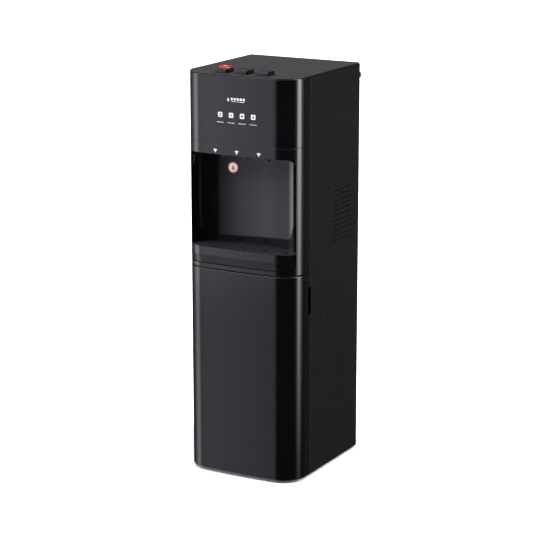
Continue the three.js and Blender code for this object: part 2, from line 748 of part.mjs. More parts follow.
function probeCap() {
  const z0 = PROBE_Z1 + FIT;
  const neck = CAP_R - 10;
  const profile = [
    [0, z0],
    [CAP_R, z0],
    [CAP_R, z0 + CAP_H / 2],
    [neck, z0 + CAP_H - 10],
    [neck, z0 + CAP_H],
    [0, z0 + CAP_H],
  ];
  return mesh('probe_cap', turned(profile, PROBE_X, PROBE_Y), CLEAR_WHITE);
}

function probeHose() {
  const z0 = PROBE_Z1 + FIT + CAP_H + FIT;
  const z1 = DECK_Z1 - BASE_T - FIT;
  return mesh('probe_hose', rod(PROBE_X, PROBE_Y, 5, z0, z1, 12), CLEAR_WHITE);
}

function probeHanger() {
  const z1 = PROBE_Z1 - 1;
  const fork = block(PROBE_X - 14, PROBE_X + 14, PROBE_Y - 10, REAR_PANEL_Y - FIT, z1 - 4, z1);
  const slot = block(PROBE_X - PROBE_R - SLIDE, PROBE_X + PROBE_R + SLIDE,
    PROBE_Y - 11, PROBE_Y + PROBE_R + SLIDE, z1 - 5, z1 + 1);
  return mesh('probe_hanger', fork.subtract(slot), SATIN_BLACK);
}

// Works
function waterPump() {
  const z0 = DECK_Z1 + FIT;
  const x = -(HALF_W - PUMP_IN);
  const y = REAR_PANEL_Y - 59;
  const [w, d, h] = PUMP_SIZE;
  const pump = block(x - w / 2, x + w / 2, y - d / 2, y + d / 2, z0, z0 + h)
    .add(rod(x, y, d / 2 - 4, z0 + h - 2, z0 + h + 20))
    .add(rodBack(x + 14, z0 + h / 2, 5, y - d / 2 - 22, y - d / 2 + 3, 12));
  return mesh('water_pump', pump, SATIN_BLACK);
}

// A pot on a plate with four rubber-footed corners, with its relay cover in front
function compressor() {
  const x = HOT_X - COMPRESSOR_LEFT;
  const y = TANK_Y + 4;
  const z0 = DECK_Z1 + FIT;
  const r = COMPRESSOR_R;
  const potZ = z0 + 6;
  const top = potZ + COMPRESSOR_H;
  const profile = [
    [0, potZ],
    [r - 10, potZ],
    [r - 2, potZ + 24],
    [r, potZ + 74],
    [r - 2, top - 30],
    [r - 16, top - 8],
    [r - 34, top],
    [STUB_R, top],
    [STUB_R, top + 12],
    [STUB_R - 1, top + 12],
    [STUB_R - 1, top - POT_WALL],
    [r - 34 - POT_WALL, top - POT_WALL],
    [r - POT_WALL, top - 30 - POT_WALL],
    [r - POT_WALL, potZ + 24 + POT_WALL],
    [r - 10 - POT_WALL, potZ + POT_WALL],
    [0, potZ + POT_WALL],
  ];
  const halfW = COMPRESSOR_PLATE[0] / 2;
  const halfD = COMPRESSOR_PLATE[1] / 2;
  let unit = turned(profile, x, y)
    .add(block(x - halfW, x + halfW, y - halfD, y + halfD, potZ - 2, potZ + 2))
    .add(block(x - 18, x + 18, y - r - 18, y - r + 4, z0 + 50, z0 + 95));
  for (const dx of [10 - halfW, halfW - 10]) {
    for (const dy of [10 - halfD, halfD - 10]) unit = unit.add(rod(x + dx, y + dy, 9, z0, potZ, 12));
  }
  return mesh('compressor', unit, PAINTED_STEEL);
}

function filterDrier() {
  const z0 = DECK_Z1 + 14;
  const z1 = z0 + DRIER_H;
  const r = DRIER_R;
  const profile = [[0, z0], [r / 3, z0], [r, z0 + 12], [r, z1 - 12], [r / 3, z1], [0, z1]];
  return mesh('filter_drier', turned(profile, HOT_X - DRIER_LEFT, REAR_PANEL_Y - 24, 12), COPPER);
}

function tankShelf() {
  const half = HALF_W - SHEET - FIT;
  const y0 = FRONT_Y + NICHE_DEPTH + 30;
  const shelf = block(-half, half, y0, REAR_PANEL_Y - FIT, SHELF_Z, SHELF_Z + BASE_T);
  return mesh('tank_shelf', shelf, ZINC_STEEL);
}

function tank(name, x, r, material) {
  const z0 = SHELF_Z + BASE_T + FIT + JACKET_FLOOR + FIT;
  const z1 = z0 + TANK_H;
  const bore = NECK_R - TANK_WALL;
  const profile = [
    [0, z0],
    [r, z0],
    [r, z1],
    [r - 8, z1 + 7],
    [NECK_R, z1 + 10],
    [NECK_R, z1 + 24],
    [bore, z1 + 24],
    [bore, z1 + 10 - TANK_WALL],
    [r - 9, z1 + 7 - TANK_WALL],
    [r - TANK_WALL, z1 - 1],
    [r - TANK_WALL, z0 + TANK_WALL],
    [0, z0 + TANK_WALL],
  ];
  return mesh(name, turned(profile, x, TANK_Y, 28), material);
}

function tankJacket(name, x, outer, inner) {
  const z0 = SHELF_Z + BASE_T + FIT;
  const floor = z0 + JACKET_FLOOR;
  const z1 = floor + TANK_H - JACKET_LOW;
  const bore = inner + 0.4;
  const profile = [[0, z0], [outer, z0], [outer, z1], [bore, z1], [bore, floor], [0, floor]];
  return mesh(name, turned(profile, x, TANK_Y, 28), FOAM);
}

// A round tube along points that lie in a plane across Y
function planeTube(points, y, r, sides) {
  const positions = [];
  points.forEach(([x, z], i) => {
    const [x0, z0] = points[Math.max(i - 1, 0)];
    const [x1, z1] = points[Math.min(i + 1, points.length - 1)];
    const along = Math.atan2(z1 - z0, x1 - x0);
    for (let k = 0; k < sides; k += 1) {
      const angle = 2 * Math.PI * k / sides;
      const out = r * Math.cos(angle);
      positions.push(x - out * Math.sin(along), y + r * Math.sin(angle), z + out * Math.cos(along));
    }
  });
  const index = [];
  for (let i = 0; i < points.length - 1; i += 1) {
    for (let k = 0; k < sides; k += 1) {
      const a = i * sides + k;
      const b = i * sides + (k + 1) % sides;
      index.push(a, a + sides, b + sides, a, b + sides, b);
    }
  }
  const last = (points.length - 1) * sides;
  for (let k = 1; k < sides - 1; k += 1) index.push(0, k, k + 1, last, last + k + 1, last + k);
  return new wasm.Manifold(new wasm.Mesh({
    numProp: 3,
    vertProperties: new Float32Array(positions),
    triVerts: new Uint32Array(index),
  }));
}

// Serpentine tube with return bends, on two upright straps
function condenser() {
  const y = FITTING_Y + 8;
  const bendR = COIL_PITCH / 2;
  const points = [];
  for (let i = 0; i < COIL_RUNS; i += 1) {
    const z = COIL_Z0 + i * COIL_PITCH;
    const side = i % 2 === 0 ? 1 : -1;
    points.push([-side * COIL_HALF, z], [side * COIL_HALF, z]);
    for (let k = 1; k < ARC_STEPS && i < COIL_RUNS - 1; k += 1) {
      const angle = Math.PI * (k / ARC_STEPS - 0.5);
      points.push([side * (COIL_HALF + bendR * Math.cos(angle)), z + bendR + bendR * Math.sin(angle)]);
    }
  }
  let coil = planeTube(points, y, COIL_R, 8);
  const top = COIL_Z0 + (COIL_RUNS - 1) * COIL_PITCH;
  const half = STRAP_W / 2;
  for (const x of [-STRAP_X, STRAP_X]) {
    coil = coil.add(block(x - half, x + half, FITTING_Y, y - 1, COIL_Z0 - 10, top + 10));
  }
  return mesh('condenser', coil, PAINTED_STEEL);
}

// Rear fittings: a block of the given size centred on the socket height, grown by more all round
function panelBlock(x, [w, h], more, y0, y1) {
  const halfW = w / 2 + more;
  const halfH = h / 2 + more;
  return block(x - halfW, x + halfW, y0, y1, SOCKET_Z - halfH, SOCKET_Z + halfH);
}

// A box let into the rear panel, with a rim outside it
function rimmedBox(x, size) {
  return panelBlock(x, size, RIM_LAP, FITTING_Y, FITTING_Y + RIM_T)
    .add(panelBlock(x, size, 0, FITTING_Y - size[2], FITTING_Y + RIM_T / 2));
}

function powerInlet() {
  const hole = panelBlock(INLET_X, INLET_HOLE, 0, FITTING_Y - INLET_HOLE[2], FITTING_Y + RIM_T + 1);
  return mesh('power_inlet', rimmedBox(INLET_X, INLET_SIZE).subtract(hole), SATIN_BLACK);
}

function switchHousing() {
  let housing = rimmedBox(SWITCH_X, SWITCH_SIZE);
  for (const side of [-1, 1]) {
    const pocket = [ROCKER_W + 2 * SLIDE, ROCKER_H + 4.8];
    const x = SWITCH_X + side * SWITCH_PITCH / 2;
    const pass = panelBlock(x, pocket, 0, FITTING_Y - SWITCH_SIZE[2] - 1, FITTING_Y + RIM_T + 1);
    housing = housing.subtract(pass);
  }
  return mesh('switch_housing', housing, SATIN_BLACK);
}

// A rocker with its lower end pressed in, about its axis
function rockerSwitch(name, side, material) {
  const reach = ROCKER_H / 2;
  const profile = polygon([[-4, -reach], [3.4, -reach - 0.6], [2.2, 0], [4.8, reach], [-4, reach]]);
  const made = mesh(name, acrossWidth(profile, -ROCKER_W / 2, ROCKER_W / 2), material);
  made.position.set(SWITCH_X + side * SWITCH_PITCH / 2, FITTING_Y, SOCKET_Z);
  return made;
}

function drainPlug() {
  const plug = rodBack(HOT_X, SOCKET_Z, 2 * PLUG_R, FITTING_Y, FITTING_Y + 9, 12)
    .add(rodBack(HOT_X, SOCKET_Z, PLUG_R, FITTING_Y - 12, FITTING_Y + 1));
  return mesh('drain_plug', plug, SATIN_BLACK);
}

function group(...children) {
  const made = new THREE.Group();
  made.add(...children);
  return made;
}

const cabinet = group(
  basePlate(),
  foot('foot_front_left', -FOOT_X, FOOT_FRONT_Y),
  foot('foot_front_right', FOOT_X, FOOT_FRONT_Y),
  foot('foot_rear_left', -FOOT_X, FOOT_REAR_Y),
  foot('foot_rear_right', FOOT_X, FOOT_REAR_Y),
  sidePanel('left_side_panel', -1),
  sidePanel('right_side_panel', 1),
  rearPanel(),
  topCover(),
  rearSpacer('rear_spacer_left', -1),
  rearSpacer('rear_spacer_right', 1),
);

const head = group(
  controlFacia(),
  ...Array.from({ length: LENS_COUNT }, (_, i) => indicatorLens(i)),
  controlBoard(),
  buttonBoard(),
  button('hot_button', -1, buttonCap().subtract(lockRecess())),
  button('room_button', 0, buttonCap()),
  button('cold_button', 1, buttonCap()),
  hotLockSlider(),
  buttonSpring('hot_button_spring', -1),
  buttonSpring('room_button_spring', 0),
  buttonSpring('cold_button_spring', 1),
  nozzle('hot_nozzle', -1),
  nozzle('room_nozzle', 0),
  nozzle('cold_nozzle', 1),
  valve('hot_valve', -1),
  valve('room_valve', 0),
  valve('cold_valve', 1),
);

const niche = group(nicheSurround(), nicheLiner(), dripTray(), dripGrille());

const door = group(
  doorShell(),
  doorLiner(),
  doorMagnet(),
  hingePin('hinge_pin_lower', PANEL_Z0, DOOR_Z0 + 9),
  hingePin('hinge_pin_upper', RAIL_Z0 - FIT, DOOR_Z1 - 9),
);

const bay = group(bottleRest(), middleDeck(), probeTube(), probeCap(), probeHose(), probeHanger());

const works = group(
  waterPump(),
  compressor(),
  filterDrier(),
  tankShelf(),
  tank('cold_tank', COLD_X, COLD_TANK_R, STAINLESS),
  tankJacket('cold_tank_jacket', COLD_X, COLD_JACKET_R, COLD_TANK_R),
  tank('hot_tank', HOT_X, HOT_TANK_R, STAINLESS),
  tankJacket('hot_tank_jacket', HOT_X, HOT_JACKET_R, HOT_TANK_R),
  condenser(),
);

const rear = group(
  powerInlet(),
  switchHousing(),
  rockerSwitch('heat_switch', -1, RED),
  rockerSwitch('cool_switch', 1, SATIN_BLACK),
  drainPlug(),
);

const dispenser = group(cabinet, head, niche, door, bay, works, rear);

export default dispenser;
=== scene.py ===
import json
import math

import bmesh
import bpy
import numpy as np
from mathutils import Matrix, Vector


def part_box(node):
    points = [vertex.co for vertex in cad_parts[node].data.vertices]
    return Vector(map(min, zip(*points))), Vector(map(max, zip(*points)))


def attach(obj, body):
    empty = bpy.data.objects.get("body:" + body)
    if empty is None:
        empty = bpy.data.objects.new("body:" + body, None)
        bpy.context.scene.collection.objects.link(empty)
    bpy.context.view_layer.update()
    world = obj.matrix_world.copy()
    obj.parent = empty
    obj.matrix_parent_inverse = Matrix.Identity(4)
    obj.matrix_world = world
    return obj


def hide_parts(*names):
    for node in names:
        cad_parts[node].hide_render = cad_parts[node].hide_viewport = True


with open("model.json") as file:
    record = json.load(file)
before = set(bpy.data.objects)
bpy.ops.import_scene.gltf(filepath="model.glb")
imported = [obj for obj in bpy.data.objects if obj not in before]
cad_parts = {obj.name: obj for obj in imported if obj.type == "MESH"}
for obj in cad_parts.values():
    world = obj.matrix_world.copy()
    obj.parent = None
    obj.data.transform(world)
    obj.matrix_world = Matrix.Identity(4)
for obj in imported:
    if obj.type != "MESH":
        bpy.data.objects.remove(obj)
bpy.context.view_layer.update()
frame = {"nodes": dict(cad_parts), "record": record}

# A floor-standing water dispenser that is loaded from below. Lengths here are millimetres, turned to
# metres as a mesh is made. X is to the right, -Y is the front and Z is up.
MM = 0.001
DEG = math.pi / 180

# Sizes of the design that a node's box doesn't give
CORNER_R = 60      # plan radius of the two front corners
FRONT_R = 1700     # plan radius of the bowed front
WALL = 2.5         # moulded wall
SHEET = 1.0        # folded steel sheet
FIT = 0.3
OPEN_R = 22        # corners of the niche opening, seen from the front
NICHE_CORNER_R = 60
NICHE_BACK_R = 600
APRON_SET = 1      # the apron sits this far behind the front surface
APRON_T = 3.2
TAP_PITCH = 62
SLOT_Z = (434, 506.5)    # finger slot at the door's free edge
SLOT_W = 14.7
SLOT_AHEAD = 8
DRAIN = (9, 6)           # half length and half width of an oval drain in the grille
DRAIN_AHEAD = 6
FINGER_X = 117.9         # finger hole in the grille
CAP_Z0 = 1026            # lower edge of a button's cap
POCKET_R = 7.2           # spring pocket in a button
STEM_R = 3.5
SPRING_TURNS = 4
SPRING_WIRE_R = 0.6
COIL_R = 2.4
COIL_PITCH = 38
COIL_RUNS = 9
STRAP_X = 80
STRAP_W = 10
STRAP_PAST = 10          # the straps run this far past the condenser's end runs
WIRE_COUNT = 32
WIRE_R = 0.7
LOUVRE_COUNT = 11
LOUVRE_Z0 = 596
LOUVRE_PITCH = 13
LOUVRE_Y = (29, 131)
BLADE_IN = 4             # a louvre's blade rises this far in behind its slot
BUTTON_TOP = 4.5         # thickness of a button's top over its spring pocket
BUTTON_TRAVEL = 5
RIM_R = 0.8              # bead round the niche opening, how far out from its edge it runs, and how
RIM_OUT = 1.3            # far under the tray's top it ends
RIM_UNDER = 12
STICKER = (-TAP_PITCH, 790)    # X and Z of the round sticker on the niche's back
DOT_DROP = 10.6          # status dots and label rules under the middle of the lenses
RULE_DROP = 19
MARK_Z = 981             # generic mark: a drop and a row of blocks over a rule
ARROW_Z = 852            # arrows over the taps


def box(node):
    """Lowest and highest corner of a CAD node in millimetres."""
    low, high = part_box(node)
    return np.array(low) / MM, np.array(high) / MM


door_low, door_high = box("door_shell")
facia_low, facia_high = box("control_facia")
surround_low, surround_high = box("niche_surround")
liner_low, liner_high = box("niche_liner")
tray_low, tray_high = box("drip_tray")
grille_low, grille_high = box("drip_grille")
cover_low, cover_high = box("top_cover")

HALF_W = door_high[0]
FRONT_Y = facia_low[1]
EDGE_Y = facia_high[1]
CORNER_X = HALF_W - CORNER_R
ARC_Y = FRONT_Y + FRONT_R
BOW = math.asin(CORNER_X / (FRONT_R - CORNER_R))
CORNER_Y = ARC_Y - (FRONT_R - CORNER_R) * math.cos(BOW)
NICHE_HALF = liner_high[0] - WALL
NICHE_Z0 = liner_low[2] + WALL
NICHE_Z1 = liner_high[2] - WALL
NICHE_BACK = liner_high[1] - WALL
OPEN_HALF = NICHE_HALF + 1
TAP_Y = (box("room_nozzle")[0][1] + box("room_nozzle")[1][1]) / 2


# ---------------------------------------------------------------------------------------------
# Meshes
# ---------------------------------------------------------------------------------------------

def make(name, points, faces):
    """A mesh object from an array of points in millimetres and a list of faces."""
    mesh = bpy.data.meshes.new(name)
    mesh.from_pydata((np.reshape(points, (-1, 3)) * MM).tolist(), [], faces)
    piece = bpy.data.objects.new(name, mesh)
    bpy.context.scene.collection.objects.link(piece)
    return piece


def clean(piece, outward=True):
    """Merges doubled points, drops faces with no area, and turns a closed piece's faces outwards."""
    mesh = bmesh.new()
    mesh.from_mesh(piece.data)
    bmesh.ops.remove_doubles(mesh, verts=mesh.verts, dist=1e-6)
    bmesh.ops.dissolve_degenerate(mesh, edges=mesh.edges, dist=1e-7)
    if outward:
        bmesh.ops.recalc_face_normals(mesh, faces=mesh.faces)
    mesh.to_mesh(piece.data)
    mesh.free()
    return piece


def quads(rows, columns, round_rows=False, round_columns=False):
    """Faces of a grid whose points are stored row by row; a round grid joins its end to its start."""
    i = np.arange(rows if round_rows else rows - 1)[:, None]
    j = np.arange(columns if round_columns else columns - 1)[None, :]
    down, across = (i + 1) % rows, (j + 1) % columns
    corners = (i * columns + j, i * columns + across, down * columns + across, down * columns + j)
    return np.stack(np.broadcast_arrays(*corners), -1).reshape(-1, 4).tolist()


def loft(name, loops):
    """A closed solid through a stack of closed loops with equal counts, capped at both ends."""
    loops = np.asarray(loops, float)
    rows, columns = loops.shape[:2]
    faces = quads(rows, columns, round_columns=True)
    faces.append(list(range(columns))[::-1])
    faces.append(list(range((rows - 1) * columns, rows * columns)))
    return clean(make(name, loops, faces))


def round_rect(x0, x1, y0, y1, r, count=6):
    """Rectangle with four quarter-circle corners, counterclockwise, as an (n, 2) array."""
    turn = (np.arange(4)[:, None] + np.linspace(0, 1, count)[None, :]) * math.pi / 2
    centres = np.array([[x1 - r, y1 - r], [x0 + r, y1 - r], [x0 + r, y0 + r], [x1 - r, y0 + r]])
    return (centres[:, None, :] + r * np.stack([np.cos(turn), np.sin(turn)], -1)).reshape(-1, 2)


def pad(name, low, high, corner=2.0, edge=1.0, dish=0.0, steps=5):
    """A block with rounded upright corners and quarter-round top and bottom edges. Its loops are
    rounded rectangles, drawn in by edge * (1 - sin) as they rise by edge * (1 - cos). A dish lowers
    the middle of the top by a parabola."""
    turn = np.linspace(0, math.pi / 2, steps)
    inset = edge * (1 - np.sin(turn))
    rise = edge * (1 - np.cos(turn))
    levels = [(i, low[2] + z) for i, z in zip(inset, rise)]
    levels += [(i, high[2] - z) for i, z in zip(inset[::-1], rise[::-1])]
    half = min(high[0] - low[0], high[1] - low[1]) / 2
    if dish:
        share = np.linspace(0.1, 0.9, 6)
        levels += [(edge + (half - edge) * s, high[2] - dish * (1 - (1 - s) ** 2)) for s in share]
    loops = []
    for inset, z in levels:
        r = max(corner - inset, 0.05)
        flat = round_rect(low[0] + inset, high[0] - inset, low[1] + inset, high[1] - inset, r)
        loops.append(np.c_[flat, np.full(len(flat), z)])
    return loft(name, loops)


def lathe(name, centre, profile, sides=64, axis=2, flutes=0):
    """A solid of revolution about an upright axis (2) or one along Y (1): the (radius, along) points
    of a profile, each turned through a full circle. Flutes wave the widest part of it:
    r - 0.4 (1 - cos(flutes turn))."""
    profile = np.asarray(profile, float)
    turn = np.linspace(0, 2 * math.pi, sides, endpoint=False)
    r = np.maximum(profile[:, :1], 1e-4)
    if flutes:
        r = r - np.where(r > 0.97 * r.max(), 0.4, 0) * (1 - np.cos(flutes * turn))
    x, other = r * np.cos(turn), r * np.sin(turn)
    along = np.broadcast_to(profile[:, 1:], x.shape)
    if axis == 2:
        points = np.stack([x + centre[0], other + centre[1], along], -1)
    else:
        points = np.stack([x + centre[0], along, other + centre[1]], -1)
    return loft(name, points)


def soft_profile(points, r, steps=4):
    """The profile with each inner corner replaced by a curve through the points that lie r along
    the two sides: (1-t)^2 a + 2t(1-t) corner + t^2 b."""
    points = np.asarray(points, float)
    t = np.linspace(0, 1, steps)[:, None]
    made = [points[:1]]
    for before, corner, after in zip(points[:-2], points[1:-1], points[2:]):
        lengths = np.linalg.norm(before - corner), np.linalg.norm(after - corner)
        reach = min(r, 0.45 * min(lengths))
        a = corner + (before - corner) / lengths[0] * reach
        b = corner + (after - corner) / lengths[1] * reach
        made.append((1 - t) ** 2 * a + 2 * t * (1 - t) * corner + t ** 2 * b)
    made.append(points[-1:])
    return np.concatenate(made)


def tube(name, path, r, reference, sides=12):
    """A round bar along a path: circles across its tangent, set up from one reference direction."""
    path = np.asarray(path, float)
    along = np.gradient(path, axis=0)
    along /= np.linalg.norm(along, axis=1, keepdims=True)
    across = np.cross(along, reference)
    across /= np.linalg.norm(across, axis=1, keepdims=True)
    up = np.cross(across, along)
    turn = np.linspace(0, 2 * math.pi, sides, endpoint=False)[:, None]
    ring = np.cos(turn) * across[:, None, :] + np.sin(turn) * up[:, None, :]
    return loft(name, path[:, None, :] + r * ring)


def cut(piece, *cutters):
    """Takes closed cutters out of a closed piece and deletes them."""
    for cutter in cutters:
        modifier = piece.modifiers.new("cut", "BOOLEAN")
        modifier.operation = "DIFFERENCE"
        modifier.solver = "EXACT"
        modifier.object = cutter
    graph = bpy.context.evaluated_depsgraph_get()
    mesh = bpy.data.meshes.new_from_object(piece.evaluated_get(graph))
    piece.modifiers.clear()
    piece.data = mesh
    for cutter in cutters:
        bpy.data.objects.remove(cutter)
    return piece


def join(name, parts):
    """One object from several, each a closed body of its own."""
    mesh = bmesh.new()
    for part in parts:
        mesh.from_mesh(part.data)
        bpy.data.objects.remove(part)
    data = bpy.data.meshes.new(name)
    mesh.to_mesh(data)
    mesh.free()
    piece = bpy.data.objects.new(name, data)
    bpy.context.scene.collection.objects.link(piece)
    return piece


def from_node(node, width=0.5):
    """The node's own faces, with flat regions merged and every hard edge rounded."""
    source = frame["nodes"][node]
    mesh = bmesh.new()
    mesh.from_mesh(source.data)
    mesh.transform(source.matrix_world)
    bmesh.ops.remove_doubles(mesh, verts=mesh.verts, dist=1e-6)
    bmesh.ops.dissolve_limit(mesh, angle_limit=1 * DEG, verts=mesh.verts, edges=mesh.edges)
    hard = [edge for edge in mesh.edges if edge.is_manifold and edge.calc_face_angle() > 35 * DEG]
    bmesh.ops.bevel(mesh, geom=hard, offset=width * MM, segments=2, profile=0.5, affect="EDGES",
                    clamp_overlap=True)
    data = bpy.data.meshes.new(node)
    mesh.to_mesh(data)
    mesh.free()
    piece = bpy.data.objects.new(f"{node}_piece", data)
    bpy.context.scene.collection.objects.link(piece)
    return piece


def resample(loop, step):
    """A closed loop with points no further apart than step."""
    made = []
    for a, b in zip(loop, np.roll(loop, -1, 0)):
        count = max(1, math.ceil(np.linalg.norm(b - a) / step))
        made.append(a + (b - a) * np.linspace(0, 1, count, endpoint=False)[:, None])
    return np.concatenate(made)


def prism(outline, low, high, plane):
    """A closed block from a flat outline: plane names the two axes that the outline is drawn in."""
    flat = np.asarray(outline, float)
    order = {"xy": (0, 1, 2), "xz": (0, 2, 1), "yz": (2, 0, 1)}[plane]
    loops = []
    for level in (low, high):
        columns = (flat[:, 0], flat[:, 1], np.full(len(flat), level))
        loops.append(np.stack([columns[k] for k in order], -1))
    return loft("prism", loops)


def plate(name, outline, holes, low, high, edge=0.4):
    """A flat sheet lying in X and Y with holes through it and rounded edges: a filled flat curve,
    extruded, bevelled and made a mesh."""
    curve = bpy.data.curves.new(name, "CURVE")
    curve.dimensions = "2D"
    curve.fill_mode = "BOTH"
    for loop in (outline, *holes):
        spline = curve.splines.new("POLY")
        spline.points.add(len(loop) - 1)
        flat = np.zeros((len(loop), 4))
        flat[:, :2] = np.asarray(loop) * MM
        spline.points.foreach_set("co", flat.ravel())
        spline.use_cyclic_u = True
    curve.extrude = ((high - low) / 2 - edge) * MM
    curve.bevel_depth = edge * MM
    curve.offset = -edge * MM
    curve.bevel_resolution = 2
    holder = bpy.data.objects.new(name, curve)
    bpy.context.scene.collection.objects.link(holder)
    graph = bpy.context.evaluated_depsgraph_get()
    data = bpy.data.meshes.new_from_object(holder.evaluated_get(graph))
    data.transform(Matrix.Translation((0, 0, (low + high) / 2 * MM)))
    bpy.data.objects.remove(holder)
    piece = bpy.data.objects.new(name, data)
    bpy.context.scene.collection.objects.link(piece)
    return clean(piece)


# ---------------------------------------------------------------------------------------------
# The cabinet front
# ---------------------------------------------------------------------------------------------

def front_plan(inset=0.0, bow_steps=40, corner_steps=28):
    """Plan of the wrapped front from seam to seam, moved in by inset: a straight stretch, a quarter
    turn of CORNER_R, the bowed front of FRONT_R, and the same again. Returns points and normals."""
    phi = np.linspace(-BOW, BOW, bow_steps)
    bow = np.stack([np.sin(phi), -np.cos(phi)], -1)
    front = np.array([0, ARC_Y]) + (FRONT_R - inset) * bow
    psi = np.linspace(BOW, math.pi / 2, corner_steps)[1:]
    turn = np.stack([np.sin(psi), -np.cos(psi)], -1)
    right = np.array([CORNER_X, CORNER_Y]) + (CORNER_R - inset) * turn
    end = np.array([[HALF_W - inset, EDGE_Y]])
    right = np.concatenate([right, end])
    turn = np.concatenate([turn, [[1, 0]]])
    mirror = np.array([-1, 1])
    points = np.concatenate([right[::-1] * mirror, front, right])
    normals = np.concatenate([turn[::-1] * mirror, bow, turn])
    return points, normals


def shell_profile(z0, z1, top=1.2, bottom=1.2, steps=5):
    """Section of a moulded wall, as (inset, z): the outer face with its two edges rounded by
    quarter circles, with stations up the face that keep it shaded flat, then the plain inner face."""
    turn = np.linspace(0, math.pi / 2, steps)
    low = np.stack([bottom * (1 - np.sin(turn)), z0 + bottom * (1 - np.cos(turn))], -1)
    high = np.stack([top * (1 - np.cos(turn)), z1 - top * (1 - np.sin(turn))], -1)
    face = np.linspace(z0 + bottom, z1 - top, 9)[1:-1]
    face = np.concatenate([[z0 + bottom + 0.4], face, [z1 - top - 0.4]])
    face = np.stack([0 * face, face], -1)
    return np.concatenate([low, face, high, [[WALL, z1], [WALL, z0]]])


def wrap(name, z0, z1, top=1.2, bottom=1.2):
    """A wall that wraps the cabinet front: the section carried along the plan, capped at the seams."""
    points, normals = front_plan()
    section = shell_profile(z0, z1, top, bottom)
    flat = points[:, None, :] - normals[:, None, :] * section[None, :, :1]
    level = np.broadcast_to(section[None, :, 1:], flat.shape[:2] + (1,))
    return loft(name, np.concatenate([flat, level], -1))


def front_y(x):
    """Front surface at x: on the bowed arc, or on a corner's circle past it."""
    x = np.abs(np.asarray(x, float))
    bowed = ARC_Y - np.sqrt(FRONT_R ** 2 - np.minimum(x, CORNER_X) ** 2)
    corner = CORNER_Y - np.sqrt(np.maximum(CORNER_R ** 2 - np.maximum(x - CORNER_X, 0) ** 2, 0))
    return np.where(x < FRONT_R * math.sin(BOW), bowed, corner)


def niche_y(x, inset=0.0):
    """Back of the niche at x: the hollow back, or the circle of its large corner past it."""
    x = np.abs(np.asarray(x, float))
    middle = NICHE_BACK - NICHE_BACK_R
    corner_x = NICHE_HALF - NICHE_CORNER_R
    corner_y = middle + math.sqrt((NICHE_BACK_R - NICHE_CORNER_R) ** 2 - corner_x ** 2)
    turn = math.atan2(corner_y - middle, corner_x)
    r = NICHE_CORNER_R - inset
    back = middle + np.sqrt((NICHE_BACK_R - inset) ** 2 - x ** 2)
    side = corner_y + np.sqrt(np.maximum(r ** 2 - np.maximum(x - corner_x, 0) ** 2, 0))
    return np.where(x < (NICHE_BACK_R - inset) * math.cos(turn), back, side)


def opening_z(x, half, r, z0, z1):
    """Lowest and highest z of a rounded opening at x."""
    over = np.maximum(np.abs(x) - (half - r), 0)
    rise = r - np.sqrt(np.maximum(r ** 2 - over ** 2, 0))
    return z0 + rise, z1 - rise


def spread(half, count):
    """Stations across the width, closer together towards both ends."""
    return half * np.sin(np.linspace(-math.pi / 2, math.pi / 2, count))


def finger_cutter():
    """The finger slot's rounded outline in Y and Z, as in the side panel's solid."""
    y0 = EDGE_Y - SLOT_AHEAD
    outline = round_rect(y0, y0 + SLOT_W, *SLOT_Z, 5)
    return prism(outline, HALF_W - 25, HALF_W + 5, "yz")


def make_door():
    shell = wrap("door_moulding", door_low[2], door_high[2], 1.6, 1.6)
    return cut(shell, finger_cutter())


def make_facia():
    shell = wrap("facia_moulding", facia_low[2], facia_high[2], 1.0, 0.7)
    windows = []
    for i in range(4):
        low, high = box(f"indicator_lens_{i + 1}")
        outline = round_rect(low[0] - FIT, high[0] + FIT, low[2] - FIT, high[2] + FIT, 2.5)
        windows.append(prism(outline, FRONT_Y - 2, FRONT_Y + 8, "xz"))
    return cut(shell, *windows)


def make_surround():
    """The wall round the niche opening, with a round bead along the opening's edge that follows
    the front's curve."""
    shell = wrap("niche_surround_moulding", surround_low[2], surround_high[2], 0.5, 1.2)
    outline = round_rect(-OPEN_HALF, OPEN_HALF, NICHE_Z0, NICHE_Z1, OPEN_R, 12)
    cut(shell, prism(outline, FRONT_Y - 5, CORNER_Y - 4, "xz"))
    path = resample(round_rect(-OPEN_HALF - RIM_OUT, OPEN_HALF + RIM_OUT, NICHE_Z0 - RIM_OUT,
                               NICHE_Z1 + RIM_OUT, OPEN_R + RIM_OUT, 12), 4)
    lowest = np.argmin(np.hypot(path[:, 0], path[:, 1] - NICHE_Z0))
    path = np.roll(path, -lowest, 0)
    path = path[path[:, 1] > tray_high[2] - RIM_UNDER]
    slope = (front_y(path[:, 0] + 0.05) - front_y(path[:, 0] - 0.05)) / 0.1
    y = front_y(path[:, 0]) + RIM_R * np.sqrt(1 + slope ** 2)
    rim = tube("rim", np.stack([path[:, 0], y, path[:, 1]], -1), RIM_R, (0, 1, 0), 14)
    return join("niche_surround_moulding", [shell, rim])


